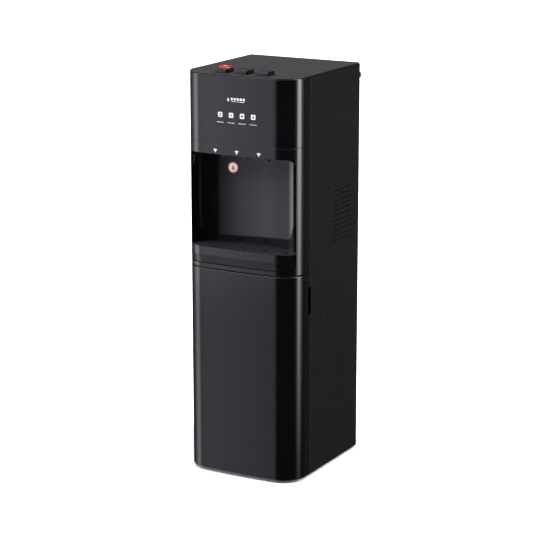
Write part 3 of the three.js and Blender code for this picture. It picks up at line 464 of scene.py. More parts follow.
def make_liner():
    """Inside of the niche. Each station across the width holds one line that runs back along the
    floor, up the hollow back and forward under the ceiling, with the two turns rounded. The wall
    is then thickened outwards."""
    x = spread(NICHE_HALF - 0.6, 120)
    low, high = opening_z(x, NICHE_HALF, OPEN_R - 1, NICHE_Z0, NICHE_Z1)
    back = niche_y(x)
    start = np.minimum(front_y(x) + WALL + FIT, back - 0.01)
    depth = back - start
    fillet = np.minimum(9, 0.8 * depth)[:, None]
    turn = np.linspace(0, math.pi / 2, 8)[None, :]
    run = np.linspace(0, 1, 6)[None, :]
    start, back, low, high, depth = (v[:, None] for v in (start, back, low, high, depth))
    ceiling_y = start + (depth - fillet) * run
    ceiling_z = high + 0 * run
    top_y = back - fillet * (1 - np.sin(turn))
    top_z = high - fillet * (1 - np.cos(turn))
    floor_y = back - np.minimum(fillet, 3) * (1 - np.cos(turn))
    floor_z = low + np.minimum(fillet, 3) * (1 - np.sin(turn))
    y = np.concatenate([ceiling_y, top_y, floor_y, start + depth * (1 - run) - 0.01], 1)
    z = np.concatenate([ceiling_z, top_z, floor_z, low + 0 * run], 1)
    points = np.stack([np.broadcast_to(x[:, None], y.shape), y, z], -1)
    piece = make("niche_moulding", points, quads(*y.shape))
    clean(piece, outward=False)
    wall = piece.modifiers.new("wall", "SOLIDIFY")
    wall.thickness = (WALL - 0.2) * MM
    wall.offset = -1
    return piece


def tray_loop(front_in, back_in, count=80):
    """Plan of the drip tray moved in by two insets: the front's curve, then the niche's back."""
    x = spread(NICHE_HALF - 1.9 - front_in * 0.6, count)
    front = front_y(x) + APRON_SET + front_in
    back = niche_y(x, 0.5 + back_in)
    middle = (front + back) / 2
    front = np.where(front > back - 0.2, middle - 0.1, front)
    back = np.where(front > back - 0.2, middle + 0.1, back)
    loop = np.stack([np.concatenate([x, x[::-1]]), np.concatenate([front, back[::-1]])], -1)
    return loop, x


def make_tray():
    """The tray: its plan carried up outside and down inside, the front wall standing higher."""
    count = 80
    levels = [
        (2.4, 0.0, tray_low[2], tray_low[2]),
        (0.7, 0.0, tray_low[2] + 0.7, tray_low[2]),
        (0.0, 0.0, tray_low[2] + 2.4, tray_low[2]),
        (0.0, 0.0, tray_high[2] - 1.2, grille_high[2]),
        (0.35, 0.0, tray_high[2] - 0.35, grille_high[2]),
        (1.2, 0.3, tray_high[2], grille_high[2]),
        (APRON_T, WALL, tray_high[2], grille_high[2]),
        (APRON_T, WALL, grille_low[2] - FIT, grille_low[2] - FIT),
        (APRON_T + 2.8, WALL + 2.8, grille_low[2] - FIT, grille_low[2] - FIT),
        (APRON_T + 4.8, WALL + 4.8, tray_low[2] + 2.6, tray_low[2] + 2.6),
    ]
    loops = []
    for row, (front_in, back_in, front_z, back_z) in enumerate(levels):
        flat, x = tray_loop(front_in, back_in, count)
        low, _ = opening_z(x, NICHE_HALF, OPEN_R - 1.5, 0, 1)
        z = np.concatenate([np.full(count, front_z), np.full(count, back_z)])
        z = np.maximum(z, tray_low[2] + np.concatenate([low, low[::-1]]) + min(row, 3) * 0.01)
        loops.append(np.c_[flat, z])
    loops = np.asarray(loops)
    rows, columns = loops.shape[:2]
    faces = quads(rows, columns, round_columns=True)
    first = np.arange(count - 1)
    strip = np.stack([first, first + 1, columns - 2 - first, columns - 1 - first], -1)
    faces += strip[:, ::-1].tolist() + (strip + (rows - 1) * columns).tolist()
    return clean(make("drip_tray_moulding", loops, faces))


def make_grille():
    """The flat grille with three oval drains and a finger hole."""
    outline, _ = tray_loop(APRON_T + 0.5, WALL + 0.5)
    y = TAP_Y - DRAIN_AHEAD
    long, wide = DRAIN
    holes = [round_rect(x - long, x + long, y - wide, y + wide, wide - 0.1, 8)
             for x in (-TAP_PITCH, 0, TAP_PITCH, FINGER_X)]
    return plate("drip_grille_plate", outline, holes, grille_low[2], grille_high[2], 0.5)


# ---------------------------------------------------------------------------------------------
# Steel cabinet, top and small pieces
# ---------------------------------------------------------------------------------------------

def make_side_panel(side):
    """The folded side: its C-shaped plan with rounded folds, carried up, with louvre slots that
    have a sloping blade behind each."""
    low, high = box("right_side_panel")
    corner = [(-12, low[1]), (0, low[1]), (0, high[1]), (-14, high[1])]
    outer = soft_profile([(HALF_W + x, y) for x, y in corner], 1.8, 6)
    inner = soft_profile([(HALF_W + x - (SHEET if x == 0 else 0), y + s * SHEET)
                          for (x, y), s in zip(corner, (1, 1, -1, -1))], 0.9, 6)
    section = np.concatenate([outer, inner[::-1]]) * np.array([side, 1])
    piece = prism(section, low[2], high[2], "xy")
    piece.name = "right_panel_sheet" if side > 0 else "left_panel_sheet"
    cutters = []
    for i in range(LOUVRE_COUNT):
        z = LOUVRE_Z0 + LOUVRE_PITCH * i
        slot = round_rect(*LOUVRE_Y, z, z + 3, 1.4)
        cutters.append(prism(slot, side * HALF_W - 3, side * HALF_W + 3, "yz"))
    if side > 0:
        cutters.append(finger_cutter())
    parts = [cut(piece, *cutters)]
    for i in range(LOUVRE_COUNT):
        z = LOUVRE_Z0 + LOUVRE_PITCH * i
        blade = np.array([(0, -0.4), (BLADE_IN, 3.6), (BLADE_IN, 4.4), (0, 0.4)]) * np.array([-side, 1])
        blade += np.array([side * (HALF_W - 0.9 * SHEET), z])
        parts.append(prism(blade, LOUVRE_Y[0] - 1, LOUVRE_Y[1] + 1, "xz"))
    return join(piece.name, parts)


def make_cover():
    """The top cover: the cabinet's plan with three button holes, on a smaller rebated sheet that
    leaves a shadow gap under its edge."""
    holes = []
    for name in ("hot_button", "room_button", "cold_button"):
        low, high = box(name)
        holes.append(round_rect(low[0] + 1, high[0] - 1, low[1] + 1, high[1] - 1, 1.5))
    sheets = []
    for inset, z0, z1, edge in ((3.0, cover_low[2], cover_high[2] - 1, 0.2),
                                (0.4, cover_high[2] - 1.3, cover_high[2], 0.5)):
        points, _ = front_plan(inset)
        rear = np.array([[HALF_W - inset, cover_high[1]], [-HALF_W + inset, cover_high[1]]])
        sheets.append(plate("sheet", np.concatenate([points, rear]), holes, z0, z1, edge))
    return join("top_cover_sheet", sheets)


def make_button(side):
    """A button: a cap with soft edges and, but for the locked one, a slightly dished top, over a
    flange that holds it under the cover, both hollow round a stem for the spring."""
    low, high = box(f"{side}_button")
    middle = (low + high) / 2
    cap_low = np.array([low[0] + 1.5, low[1] + 1.5, CAP_Z0])
    cap_high = np.array([high[0] - 1.5, high[1] - 1.5, high[2]])
    cap = pad("cap", cap_low, cap_high, 2.5, 1.2, 0.0 if side == "hot" else 0.5)
    flange_top = cover_low[2] - 0.4
    flange = pad("flange", np.array([low[0], low[1], flange_top - 3]),
                 np.array([high[0], high[1], flange_top]), 3, 0.5)
    ceiling = high[2] - BUTTON_TOP
    z0 = low[2] - 1
    for shell in (cap, flange):
        hollow = [(0, z0), (POCKET_R, z0), (POCKET_R, ceiling), (0, ceiling)]
        cut(shell, lathe("pocket", middle, hollow, 48))
    post = [(0, low[2]), (STEM_R, low[2]), (STEM_R, ceiling + 1), (0, ceiling + 1)]
    stem = lathe("stem", middle, post, 24)
    return join(f"{side}_button_cap", [cap, flange, stem])


def make_lock():
    """The sliding child lock: a low wedge whose front falls away, with a finger ridge."""
    low, high = box("hot_lock_slider")
    y = np.array([0, 0.06, 0.2, 0.42, 0.86, 0.95, 1.0])
    z = np.array([0.30, 0.46, 0.72, 1.0, 1.0, 0.93, 0.78])
    rise = low[2] + 0.2 + z * (high[2] - low[2] - 0.35)
    depth = low[1] + y * (high[1] - low[1])
    edge = np.array([0, 0.5, 1.2, 2.0])
    drop = np.array([1.4, 0.45, 0.1, 0.0])
    x = np.concatenate([low[0] + edge, (high[0] - edge)[::-1]])
    fall = np.concatenate([drop, drop[::-1]])
    top = np.stack(np.broadcast_arrays(x[:, None], depth[None, :], rise[None, :] - fall[:, None]), -1)
    base = top.copy()
    base[..., 2] = low[2]
    count = top.shape[0] * top.shape[1]
    upper = quads(*top.shape[:2])
    lower = (np.array(upper)[:, ::-1] + count).tolist()
    rows, columns = top.shape[:2]
    rim = np.concatenate([np.arange(columns), np.arange(1, rows) * columns + columns - 1,
                          (rows - 1) * columns + np.arange(columns - 2, -1, -1),
                          np.arange(rows - 2, 0, -1) * columns])
    after = np.roll(rim, -1)
    walls = np.stack([rim, after, after + count, rim + count], -1).tolist()
    return clean(make("child_lock", np.stack([top, base]), upper + lower + walls))


# ---------------------------------------------------------------------------------------------
# Materials
# ---------------------------------------------------------------------------------------------

def linear(hex_code):
    """An sRGB hex colour as a linear RGBA tuple."""
    parts = [int(hex_code[k:k + 2], 16) / 255 for k in (1, 3, 5)]
    curve = [c / 12.92 if c <= 0.04045 else ((c + 0.055) / 1.055) ** 2.4 for c in parts]
    return (*curve, 1.0)


def add(tree, kind, inputs=None, **settings):
    """Adds a node with its settings. An input, by name or number, is linked if it's given a socket
    and set if it's given a value."""
    made = tree.nodes.new(kind)
    for name, value in settings.items():
        setattr(made, name, value)
    for name, value in (inputs or {}).items():
        if isinstance(value, bpy.types.NodeSocket):
            tree.links.new(value, made.inputs[name])
        else:
            made.inputs[name].default_value = value
    return made


def surface(name, tones, spots, roughness, grain, depth, metallic=0.0, ior=1.5, streak=None):
    """A material that is mottled between two tones in patches of spots mm, with its roughness
    between two values and a bump whose grain and depth are in mm. Streak stretches the grain
    along an axis, as a brushed or drawn finish does."""
    material = bpy.data.materials.new(name)
    material.use_nodes = True
    tree = material.node_tree
    shader = tree.nodes["Principled BSDF"]
    shader.inputs["Metallic"].default_value = metallic
    if not metallic:
        shader.inputs["IOR"].default_value = ior
    place = add(tree, "ShaderNodeTexCoord").outputs["Object"]
    patches = add(tree, "ShaderNodeTexNoise", {"Vector": place, "Scale": 1 / (spots * MM), "Detail": 4.0})
    tone = add(tree, "ShaderNodeMix", {0: patches.outputs["Fac"], 6: linear(tones[0]),
                                       7: linear(tones[1])}, data_type="RGBA")
    tree.links.new(tone.outputs[2], shader.inputs["Base Color"])
    scaled = add(tree, "ShaderNodeMapping", {"Vector": place})
    scaled.inputs["Scale"].default_value = streak or (1, 1, 1)
    fine = add(tree, "ShaderNodeTexNoise", {"Vector": scaled.outputs["Vector"], "Scale": 1 / (grain * MM),
                                            "Detail": 3.0})
    rough = add(tree, "ShaderNodeMapRange", {"Value": fine.outputs["Fac"], "From Min": 0.3,
                                             "From Max": 0.7, "To Min": roughness[0],
                                             "To Max": roughness[1]})
    tree.links.new(rough.outputs["Result"], shader.inputs["Roughness"])
    bump = add(tree, "ShaderNodeBump", {"Height": fine.outputs["Fac"], "Strength": 1.0,
                                        "Distance": depth * MM})
    tree.links.new(bump.outputs["Normal"], shader.inputs["Normal"])
    return material


def glow(material, strength):
    """Lets a lit lens give off some of its own colour."""
    shader = material.node_tree.nodes["Principled BSDF"]
    shader.inputs["Emission Color"].default_value = linear("#ffffff")
    shader.inputs["Emission Strength"].default_value = strength
    return material


# ABS moulded in a polished tool and left glossy: near-black, with sharp but faintly wavy reflections
GLOSS_ABS = surface("gloss_black_abs", ("#040405", "#060607"), 40, (0.07, 0.11), 12, 0.002)
# ABS moulded in a fine-etched tool: an even satin that greys at grazing angles
SATIN_ABS = surface("satin_black_abs", ("#17171a", "#1e1e22"), 25, (0.42, 0.56), 1.2, 0.02)
# Polyester powder paint on cold-rolled sheet: semi-gloss with orange peel of about 3 mm
POWDER_STEEL = surface("black_powder_coated_steel", ("#0c0c0e", "#101012"), 60, (0.26, 0.34), 3, 0.005,
                       ior=1.34)
# Electro-galvanised sheet: cool grey with cloudy spangle
ZINC = surface("zinc_plated_steel", ("#868a8d", "#989b9d"), 9, (0.34, 0.52), 2, 0.01, metallic=0.85)
# Deep-drawn stainless, brushed along its height
STAINLESS = surface("brushed_stainless_steel", ("#b4b6b8", "#cdcfd0"), 30, (0.22, 0.38), 1.0, 0.006,
                    metallic=1.0, streak=(1, 1, 0.03))
# Drawn copper, dulled by handling
COPPER = surface("drawn_copper", ("#8f4a2a", "#c27a50"), 10, (0.25, 0.45), 1.5, 0.01, metallic=1.0)
# Red ABS, glossy
RED_ABS = surface("gloss_red_abs", ("#8a1526", "#9d1f33"), 10, (0.16, 0.26), 3, 0.006)
# Opal polycarbonate in front of a lamp
OPAL = glow(surface("opal_polycarbonate", ("#cfd3d6", "#dde0e2"), 6, (0.2, 0.3), 2, 0.003), 0.12)
# Expanded polystyrene: 3 mm beads
FOAM = surface("expanded_polystyrene", ("#d9dcd8", "#eceeea"), 8, (0.8, 0.95), 3, 0.25)
# Unpigmented polypropylene: milky
MILKY_PP = surface("natural_polypropylene", ("#cdd2d1", "#dfe3e2"), 15, (0.3, 0.42), 2, 0.01)
# Glass-epoxy board under green solder mask
BOARD = surface("green_solder_mask", ("#16492c", "#22663f"), 5, (0.3, 0.5), 1.0, 0.03)
# Moulded rubber
RUBBER = surface("black_moulded_rubber", ("#0c0c0c", "#151515"), 6, (0.7, 0.85), 1.0, 0.03)
# Epoxy ink printed on the mouldings
PALE_INK = surface("pale_screen_ink", ("#c4c6c9", "#d4d6d9"), 3, (0.4, 0.5), 0.5, 0.004)
DARK_INK = surface("dark_screen_ink", ("#121317", "#1b1c20"), 3, (0.4, 0.5), 0.5, 0.004)
ORANGE_INK = surface("orange_screen_ink", ("#b4522f", "#c9653e"), 3, (0.4, 0.5), 0.5, 0.004)

BY_SLOT = {
    "gloss_black": GLOSS_ABS,
    "satin_black": SATIN_ABS,
    "painted_steel": POWDER_STEEL,
    "zinc_steel": ZINC,
    "stainless": STAINLESS,
    "copper": COPPER,
    "red_plastic": RED_ABS,
    "white_lens": OPAL,
    "foam": FOAM,
    "natural_plastic": MILKY_PP,
    "circuit_board": BOARD,
    "rubber": RUBBER,
}
slot_of = {row["node"]: row["material_slot"] for row in frame["record"]["subparts"]}
body_of = {n: b for b, members in frame["record"]["behaviour"]["bodies"].items() for n in members}

for name, piece in frame["nodes"].items():
    piece.data.materials.clear()
    piece.data.materials.append(BY_SLOT[slot_of[name]])


def fit(piece, *nodes, material=None, body=None, slot=None, flat=False):
    """Finishes a piece: shading, material, the body it rides on and the CAD nodes it stands for. A
    flat piece's rounded edges don't bend the shading of its large faces."""
    piece.data.materials.clear()
    piece.data.materials.append(material or BY_SLOT[slot or slot_of[nodes[0]]])
    piece.data.shade_smooth()
    piece.data.set_sharp_from_angle(angle=32 * DEG)
    if flat:
        even = piece.modifiers.new("even", "WEIGHTED_NORMAL")
        even.keep_sharp = True
    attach(piece, body or body_of[nodes[0]])
    if nodes:
        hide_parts(*nodes)
    return piece


fit(make_door(), "door_shell")
fit(make_facia(), "control_facia")
fit(make_surround(), "niche_surround")
fit(make_liner(), "niche_liner")
fit(make_tray(), "drip_tray")
fit(make_grille(), "drip_grille", flat=True)
fit(make_side_panel(1), "right_side_panel", flat=True)
fit(make_side_panel(-1), "left_side_panel", flat=True)
fit(make_cover(), "top_cover", flat=True)
for side in ("hot", "room", "cold"):
    fit(make_button(side), f"{side}_button")
fit(make_lock(), "hot_lock_slider")


# ---------------------------------------------------------------------------------------------
# Small pieces and works
# ---------------------------------------------------------------------------------------------

def turned(node, points, r=0.8, sides=48, axis=2, flutes=0):
    """A lathe piece in the place of a CAD node, with its profile's corners softened by r."""
    low, high = box(node)
    centre = (low + high)[[0, 3 - axis]] / 2
    return lathe(f"{node}_turned", centre, soft_profile(points, r), sides, axis, flutes)


def make_foot(node):
    return turned(node, [(0, 0), (16, 0), (16, 2.4), (12.5, 5.7), (0, 5.7)])


def make_nozzle(node):
    """A tap's spout: a collar over a tapered tube with a bore up from below."""
    low, high = box(node)
    z0, z1, r = low[2], high[2], (high[0] - low[0]) / 2
    return turned(node, [(0, z0 + 9), (3.4, z0 + 9), (3.4, z0), (5.6, z0), (6.6, z1 - 8),
                         (r - 1.5, z1 - 5), (r, z1 - 3), (r, z1), (0, z1)], 1.0)


def make_valve(node):
    """A solenoid valve: a moulded body, a ribbed coil and its core cap."""
    low, high = box(node)
    body = pad("body", low, np.array([high[0], high[1], low[2] + 22]), 4, 1.2)
    z = np.linspace(low[2] + 22, high[2] - 5, 61)
    ribs = 10.5 + 0.6 * np.sin(np.linspace(0, 20 * math.pi, 61))
    profile = [(0, z[0] - 1), *zip(ribs, z), (5, high[2] - 4), (5, high[2]), (0, high[2])]
    coil = lathe("coil", (low + high) / 2, profile, 40)
    return join(f"{node}_body", [body, coil])


def make_spring(node):
    """A compression spring: a helix whose pitch eases to closed ends, as short as a pressed button
    leaves it, since it can't shorten as the button moves."""
    low, high = box(node)
    middle = (low + high) / 2
    wire = SPRING_WIRE_R
    t = np.linspace(0, 1, 240)
    turn = 2 * math.pi * SPRING_TURNS * t
    r = (high[0] - low[0]) / 2 - wire
    length = high[2] - low[2] - BUTTON_TRAVEL - 2 * wire
    z = low[2] + wire + length * (t - 0.1 * np.sin(2 * math.pi * t))
    path = np.stack([middle[0] + r * np.cos(turn), middle[1] + r * np.sin(turn), z], -1)
    return tube(f"{node}_helix", path, wire, (0, 0, 1), 10)


def make_lens(node):
    """A square lens with rounded corners and a soft front edge, facing the front."""
    low, high = box(node)
    piece = pad(f"{node}_window", np.array([low[0], low[2], -high[1]]), np.array([high[0], high[2], -low[1]]),
                2.4, 0.5)
    points = np.array([v.co for v in piece.data.vertices])
    points = np.stack([points[:, 0], -points[:, 2], points[:, 1]], -1)
    piece.data.vertices.foreach_set("co", points.astype(np.float32).ravel())
    return piece


def make_condenser():
    """The serpentine tube, its two straps, and the upright wires welded across its runs. The tube's
    path is straight runs joined by half circles of half the pitch."""
    low, high = box("condenser")
    half = high[0] - COIL_R - COIL_PITCH / 2
    y = high[1] - COIL_R
    z0 = low[2] + STRAP_PAST
    bend = np.linspace(-math.pi / 2, math.pi / 2, 13)[1:-1]
    path = []
    for i in range(COIL_RUNS):
        side = 1 if i % 2 == 0 else -1
        path += [(-side * half * s, y, z0 + i * COIL_PITCH) for s in np.linspace(1, -1, 9)]
        if i < COIL_RUNS - 1:
            path += [(side * (half + COIL_PITCH / 2 * math.cos(a)), y,
                      z0 + COIL_PITCH * (i + 0.5 + 0.5 * math.sin(a))) for a in bend]
    parts = [tube("run", path, COIL_R, (0, 1, 0), 14)]
    top = z0 + (COIL_RUNS - 1) * COIL_PITCH
    wire_y = y - COIL_R - 0.4
    for x in np.linspace(-half, half, WIRE_COUNT):
        wire = [(x, wire_y, z0 - 5), (x, wire_y, (z0 + top) / 2), (x, wire_y, top + 5)]
        parts.append(tube("wire", wire, WIRE_R, (0, 1, 0), 8))
    for x in (-STRAP_X, STRAP_X):
        strap_low = np.array([x - STRAP_W / 2, low[1], low[2]])
        strap_high = np.array([x + STRAP_W / 2, y - 1, high[2]])
        parts.append(pad("strap", strap_low, strap_high, 1.5, 0.6))
    return join("condenser_coil", parts)


def make_probe_tube():
    """The suction tube, with a rounded mouth at each end."""
    low, high = box("probe_tube")
    z0, z1 = low[2], high[2]
    return turned("probe_tube", [(0, z0 + 12), (4.5, z0 + 12), (4.5, z0), (6, z0), (6, z1), (0, z1)], 0.5)


def make_probe_cap():
    """The bottle cap on the tube: a fluted skirt under a shoulder and a neck."""
    low, high = box("probe_cap")
    z0, z1, r = low[2], high[2], (high[0] - low[0]) / 2
    points = [(0, z0), (r, z0), (r, z0 + 18), (14, z1 - 10), (14, z1), (0, z1)]
    return turned("probe_cap", points, 1.6, 120, 2, 30)


def make_hose():
    """The stretch of hose above the cap, corrugated to bend freely."""
    low, high = box("probe_hose")
    z = np.linspace(low[2], high[2], 97)
    r = 4.7 + 0.3 * np.sin(np.linspace(0, 24 * math.pi, 97))
    return lathe("probe_hose_bellows", (low + high) / 2, [(0, z[0]), *zip(r, z), (0, z[-1])], 32)


def make_plug():
    """The drain plug: a threaded shank under a fluted grip."""
    low, high = box("drain_plug")
    y0, y1 = low[1], high[1]
    points = [(0, y0), (6, y0), (6, y0 + 12), (12, y0 + 12), (12, y1), (0, y1)]
    return turned("drain_plug", points, 0.9, 96, 1, 16)


def make_blades():
    """The three contact blades standing in the inlet."""
    low, high = box("power_inlet")
    x, z = (low[0] + high[0]) / 2, (low[2] + high[2]) / 2
    parts = []
    for step, rise in ((-7, -3), (0, 3), (7, -3)):
        parts.append(pad("blade", np.array([x + step - 1, low[1] + 1.5, z + rise - 2]),
                         np.array([x + step + 1, high[1] - 6, z + rise + 2]), 0.6, 0.4))
    return join("inlet_blades", parts)


for node in ("foot_front_left", "foot_front_right", "foot_rear_left", "foot_rear_right"):
    fit(make_foot(node), node)
for side in ("hot", "room", "cold"):
    fit(make_nozzle(f"{side}_nozzle"), f"{side}_nozzle")
    fit(make_valve(f"{side}_valve"), f"{side}_valve")
    fit(make_spring(f"{side}_button_spring"), f"{side}_button_spring")
LENSES = [f"indicator_lens_{i}" for i in range(1, 5)]
for node in LENSES:
    fit(make_lens(node), node)
fit(make_condenser(), "condenser")
fit(make_probe_tube(), "probe_tube")
fit(make_probe_cap(), "probe_cap")
fit(make_hose(), "probe_hose")
fit(make_plug(), "drain_plug")
fit(make_blades(), material=ZINC, body="cabinet", slot="zinc_steel")

# Pieces that keep their solid's form, with how far their edges are rounded
ROUNDED = {
    "base_plate": 0.3, "middle_deck": 0.3, "tank_shelf": 0.3, "rear_panel": 0.3,
    "rear_spacer_left": 1.4, "rear_spacer_right": 1.4, "hinge_pin_lower": 0.25, "hinge_pin_upper": 0.25,
    "control_board": 0.2, "button_board": 0.2, "door_liner": 0.8, "door_magnet": 0.8,
    "bottle_rest": 1.6, "probe_hanger": 0.8, "water_pump": 1.5, "compressor": 1.5, "filter_drier": 1.0,
    "cold_tank": 1.0, "cold_tank_jacket": 2.0, "hot_tank": 1.0, "hot_tank_jacket": 2.0,
    "power_inlet": 0.6, "switch_housing": 0.6, "heat_switch": 0.8, "cool_switch": 0.8,
}
bpy.context.view_layer.update()
for node, width in ROUNDED.items():
    fit(from_node(node, width), node, flat=True)


# ---------------------------------------------------------------------------------------------
# Printing
# ---------------------------------------------------------------------------------------------

def disc(x, z, r, count=28):
    turn = np.linspace(0, 2 * math.pi, count, endpoint=False)
    return np.stack([x + r * np.cos(turn), z + r * np.sin(turn)], -1)


def bar(x, z, width, height, turn=0.0):
    """A bar with rounded ends, turned about its middle."""
    r = 0.45 * min(width, height)
    flat = round_rect(-width / 2, width / 2, -height / 2, height / 2, r, 4)
    way = np.array([[math.cos(turn), math.sin(turn)], [-math.sin(turn), math.cos(turn)]])
    return flat @ way + np.array([x, z])


def drop(x, z, r):
    """A water drop: a circle whose upper part runs out to a point, width times 1 - sin^3 above."""
    turn = np.linspace(0, 2 * math.pi, 36, endpoint=False)
    up = np.maximum(np.sin(turn), 0)
    return np.stack([x + r * np.cos(turn) * (1 - 0.35 * up), z + r * np.sin(turn) + r * up ** 6], -1)


def printed(name, outlines, wall, material, slot, lift=0.04):
    """Ink on an upright wall: each outline drawn in to its middle, on the wall's curve."""
    parts = []
    for outline in outlines:
        flat = np.asarray(outline, float)
        middle = flat.mean(0)
        loops = []
        for share, out in ((1, -0.2), (1, lift), (0.66, lift), (0.33, lift), (0.01, lift)):
            ring = middle + (flat - middle) * share
            loops.append(np.stack([ring[:, 0], wall(ring[:, 0]) - out, ring[:, 1]], -1))
        parts.append(loft(name, loops))
    return fit(join(name, parts), material=material, body="cabinet", slot=slot)


def ring_of(x, z, r, count, width, height):
    """Bars round a circle, each pointing outwards."""
    turns = np.arange(count) * 2 * math.pi / count
    return [bar(x + r * math.cos(t), z + r * math.sin(t), width, height, t) for t in turns]


LENS_Z = (box(LENSES[0])[0][2] + box(LENSES[0])[1][2]) / 2
for k, node in enumerate(LENSES):
    low, high = box(node)
    x = (low[0] + high[0]) / 2
    glyphs = (
        [bar(x + s, LENS_Z + 1, 1.7, 5.6) for s in (-2.5, 0, 2.5)] + [bar(x, LENS_Z - 3.2, 7.4, 1.6)],
        [disc(x, LENS_Z, 2.3)] + ring_of(x, LENS_Z, 3.7, 8, 1.6, 1.2),
        [bar(x, LENS_Z, 8.0, 1.9, t) for t in (0, math.pi / 3, 2 * math.pi / 3)],
        [drop(x, LENS_Z - 1, 3.1)],
    )[k]
    printed(f"pictogram_{k + 1}", glyphs, lambda v, y=low[1]: np.full(len(v), y), DARK_INK, "satin_black")
LENS_XS = [(box(node)[0][0] + box(node)[1][0]) / 2 for node in LENSES]
printed("status_dots", [disc(x, LENS_Z - DOT_DROP, 1.7) for x in LENS_XS], front_y, DARK_INK, "satin_black")
rules = [bar(x, LENS_Z - RULE_DROP, 20, 1.1) for x in LENS_XS]
printed("label_rules", rules, front_y, PALE_INK, "white_lens")
mark = [drop(-23.5, MARK_Z - 3, 3.0)] + [bar(x, MARK_Z, 6.2, 6.4) for x in (-13, -4.5, 4, 12.5, 21)]
mark.append(bar(4, MARK_Z - 6, 36, 1.3))
printed("maker_mark", mark, front_y, PALE_INK, "white_lens")
arrows = [[(x - 5.5, ARROW_Z), (x, ARROW_Z - 9.5), (x + 5.5, ARROW_Z)] for x in (-TAP_PITCH, 0, TAP_PITCH)]
printed("tap_arrows", arrows, front_y, PALE_INK, "white_lens")
printed("sticker_rim", [disc(*STICKER, 14)], niche_y, ORANGE_INK, "red_plastic", 0.05)
printed("sticker_face", [disc(*STICKER, 11)], niche_y, PALE_INK, "white_lens", 0.10)
printed("sticker_drop", [drop(STICKER[0], STICKER[1] - 2, 5)], niche_y, ORANGE_INK, "red_plastic", 0.15)

lock_low, lock_high = box("hot_lock_slider")
patches = [[(x, -139), (x + 3.2, -135.5), (x, -132)] for x in (lock_low[0] + 11, lock_low[0] + 17)]
patches = [prism(p, lock_high[2] - 1.2, lock_high[2] - 0.1, "xy") for p in patches]
fit(join("lock_arrows", patches), material=PALE_INK, body="hot_lock", slot="white_lens")


# ---------------------------------------------------------------------------------------------
# Studio
# ---------------------------------------------------------------------------------------------

# Compass direction in degrees, 0 in front and 90 to the right, and how bright the studio is there
SOFTBOXES = [(-180, 0.12), (-120, 0.12), (-102, 0.2), (-92, 0.6), (-80, 1.9), (-68, 3.4), (-58, 2.8),
             (-50, 1.15), (-43, 1.1), (-36, 1.4), (-22, 1.02), (-17, 0.6), (-11, 0.2), (-4, 0.03), (76, 0.02),
             (84, 0.3), (91, 1.6), (97, 7.8), (109, 7.8), (118, 1.2), (134, 0.08), (180, 0.12)]
COOL = (1.0, 0.98, 1.12)    # tint of the softbox to the front left, and its two bearings
COOL_RANGE = (-60, -2)
BRIGHTEST = 8.0


def studio_world():
    """A white studio seen directly; in reflections its brightness changes with the compass
    direction, as large soft panels and dark curtains round the object make it."""
    world = bpy.data.worlds.new("studio")
    bpy.context.scene.world = world
    world.use_nodes = True
    tree = world.node_tree
    tree.nodes.clear()
    place = add(tree, "ShaderNodeTexCoord").outputs["Generated"]
    parts = add(tree, "ShaderNodeSeparateXYZ", {"Vector": place}).outputs
    ahead = add(tree, "ShaderNodeMath", {0: parts["Y"], 1: -1}, operation="MULTIPLY")
    angle = add(tree, "ShaderNodeMath", {0: parts["X"], 1: ahead.outputs[0]}, operation="ARCTAN2")
    share = add(tree, "ShaderNodeMapRange", {"Value": angle.outputs[0], "From Min": -math.pi,
                                             "From Max": math.pi})
    ramp = add(tree, "ShaderNodeValToRGB", {"Fac": share.outputs["Result"]})
    stops = ramp.color_ramp.elements
    for bearing, bright in SOFTBOXES:
        position = (bearing + 180) / 360
        stop = {0: stops[0], 1: stops[-1]}.get(position) or stops.new(position)
        tint = COOL if COOL_RANGE[0] < bearing < COOL_RANGE[1] else (1, 1, 1)
        stop.color = (*(bright / BRIGHTEST * part for part in tint), 1)
    # Below the horizon the panels dim, sharply in front and softly to the right, and well above it
    # they brighten
    fall = add(tree, "ShaderNodeMapRange", {"Value": parts["Z"], "From Min": -0.249, "From Max": -0.243,
                                            "To Min": 0.62 * BRIGHTEST, "To Max": BRIGHTEST})
    fade = add(tree, "ShaderNodeMapRange", {"Value": parts["Z"], "From Min": -0.335, "From Max": -0.16,
                                            "To Min": 0.05 * BRIGHTEST, "To Max": BRIGHTEST})
    right = add(tree, "ShaderNodeMapRange", {"Value": parts["X"], "From Min": 0.4, "From Max": 0.7})
    blend = add(tree, "ShaderNodeMix", {0: right.outputs["Result"], 2: fall.outputs["Result"],
                                        3: fade.outputs["Result"]})
    rise = add(tree, "ShaderNodeMapRange", {"Value": parts["Z"], "From Min": 0.3, "From Max": 0.8,
                                            "To Min": 1.0, "To Max": 2.4})
    power = add(tree, "ShaderNodeMath", {0: blend.outputs[0], 1: rise.outputs["Result"]},
                operation="MULTIPLY")
    soft = add(tree, "ShaderNodeBackground", {"Color": ramp.outputs["Color"],
                                              "Strength": power.outputs[0]})
    white = add(tree, "ShaderNodeBackground", {"Color": (1, 1, 1, 1), "Strength": 1.0})
    seen = add(tree, "ShaderNodeLightPath").outputs["Is Camera Ray"]
    mix = add(tree, "ShaderNodeMixShader", {0: seen, 1: soft.outputs[0], 2: white.outputs[0]})
    add(tree, "ShaderNodeOutputWorld", {"Surface": mix.outputs[0]})


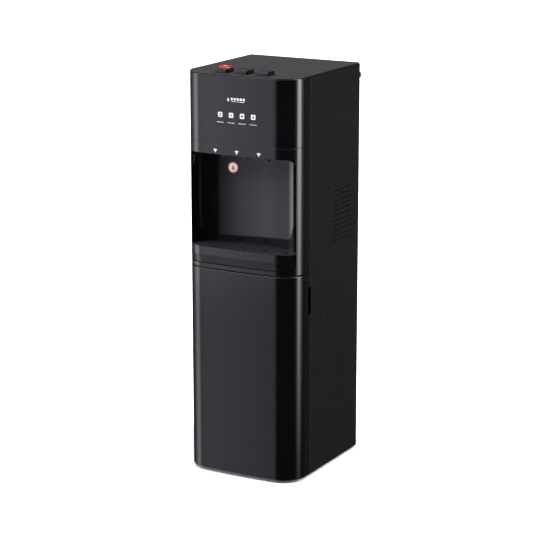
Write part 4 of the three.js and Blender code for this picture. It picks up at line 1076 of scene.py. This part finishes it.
def area_light(name, place, aim, size, power):
    light = bpy.data.lights.new(name, "AREA")
    light.size = size
    light.energy = power
    holder = bpy.data.objects.new(name, light)
    bpy.context.scene.collection.objects.link(holder)
    holder.location = place
    holder.rotation_euler = (Vector(aim) - Vector(place)).to_track_quat("-Z", "Y").to_euler()
    return holder


def make_floor():
    """A wide round floor, white enough to run into the background, lit from within except under
    the object, where its glow fades out as a painted contact shadow."""
    turn = np.linspace(0, 2 * math.pi, 96, endpoint=False)
    ring = np.stack([np.cos(turn), np.sin(turn), 0 * turn], -1) * 40000
    floor = make("studio_floor", ring, [list(range(96))])
    paint = surface("white_floor_with_painted_shadow", ("#f4f4f4", "#fafafa"), 300, (0.8, 0.9), 5, 0.01)
    floor.data.materials.append(paint)
    tree = paint.node_tree
    shader = tree.nodes["Principled BSDF"]
    shader.inputs["Emission Color"].default_value = (1, 1, 1, 1)
    place = add(tree, "ShaderNodeTexCoord").outputs["Object"]
    away = add(tree, "ShaderNodeVectorMath", {0: place}, operation="LENGTH")
    # Painted shadow: the floor's glow is nothing within 0.22 m of the middle and full from 0.5 m out, so the
    # dark patch under the object is painted into its emission rather than cast by the lamps
    lit = add(tree, "ShaderNodeMapRange", {"Value": away.outputs["Value"], "From Min": 0.22,
                                           "From Max": 0.5, "To Max": 0.5}, interpolation_type="SMOOTHSTEP")
    tree.links.new(lit.outputs["Result"], shader.inputs["Emission Strength"])
    floor.visible_glossy = False


def make_camera():
    """A long lens from the front right, a little above, aimed at the middle of the cabinet."""
    bearing, drop, reach = 28.93 * DEG, 14.09 * DEG, 5.12
    aim = Vector((0.0088, -0.0015, 0.4976))
    back = Vector((math.sin(bearing) * math.cos(drop), -math.cos(bearing) * math.cos(drop), math.sin(drop)))
    camera = bpy.data.cameras.new("camera")
    camera.lens = 129.3
    holder = bpy.data.objects.new("camera", camera)
    bpy.context.scene.collection.objects.link(holder)
    holder.location = aim + back * reach
    holder.rotation_euler = (-back).to_track_quat("-Z", "Y").to_euler()
    bpy.context.scene.camera = holder


studio_world()
make_floor()
make_camera()
area_light("overhead_panel", (0.0, -0.6, 3.2), (0, 0, 0.6), 2.4, 56)
bpy.context.scene.view_settings.view_transform = "Standard"
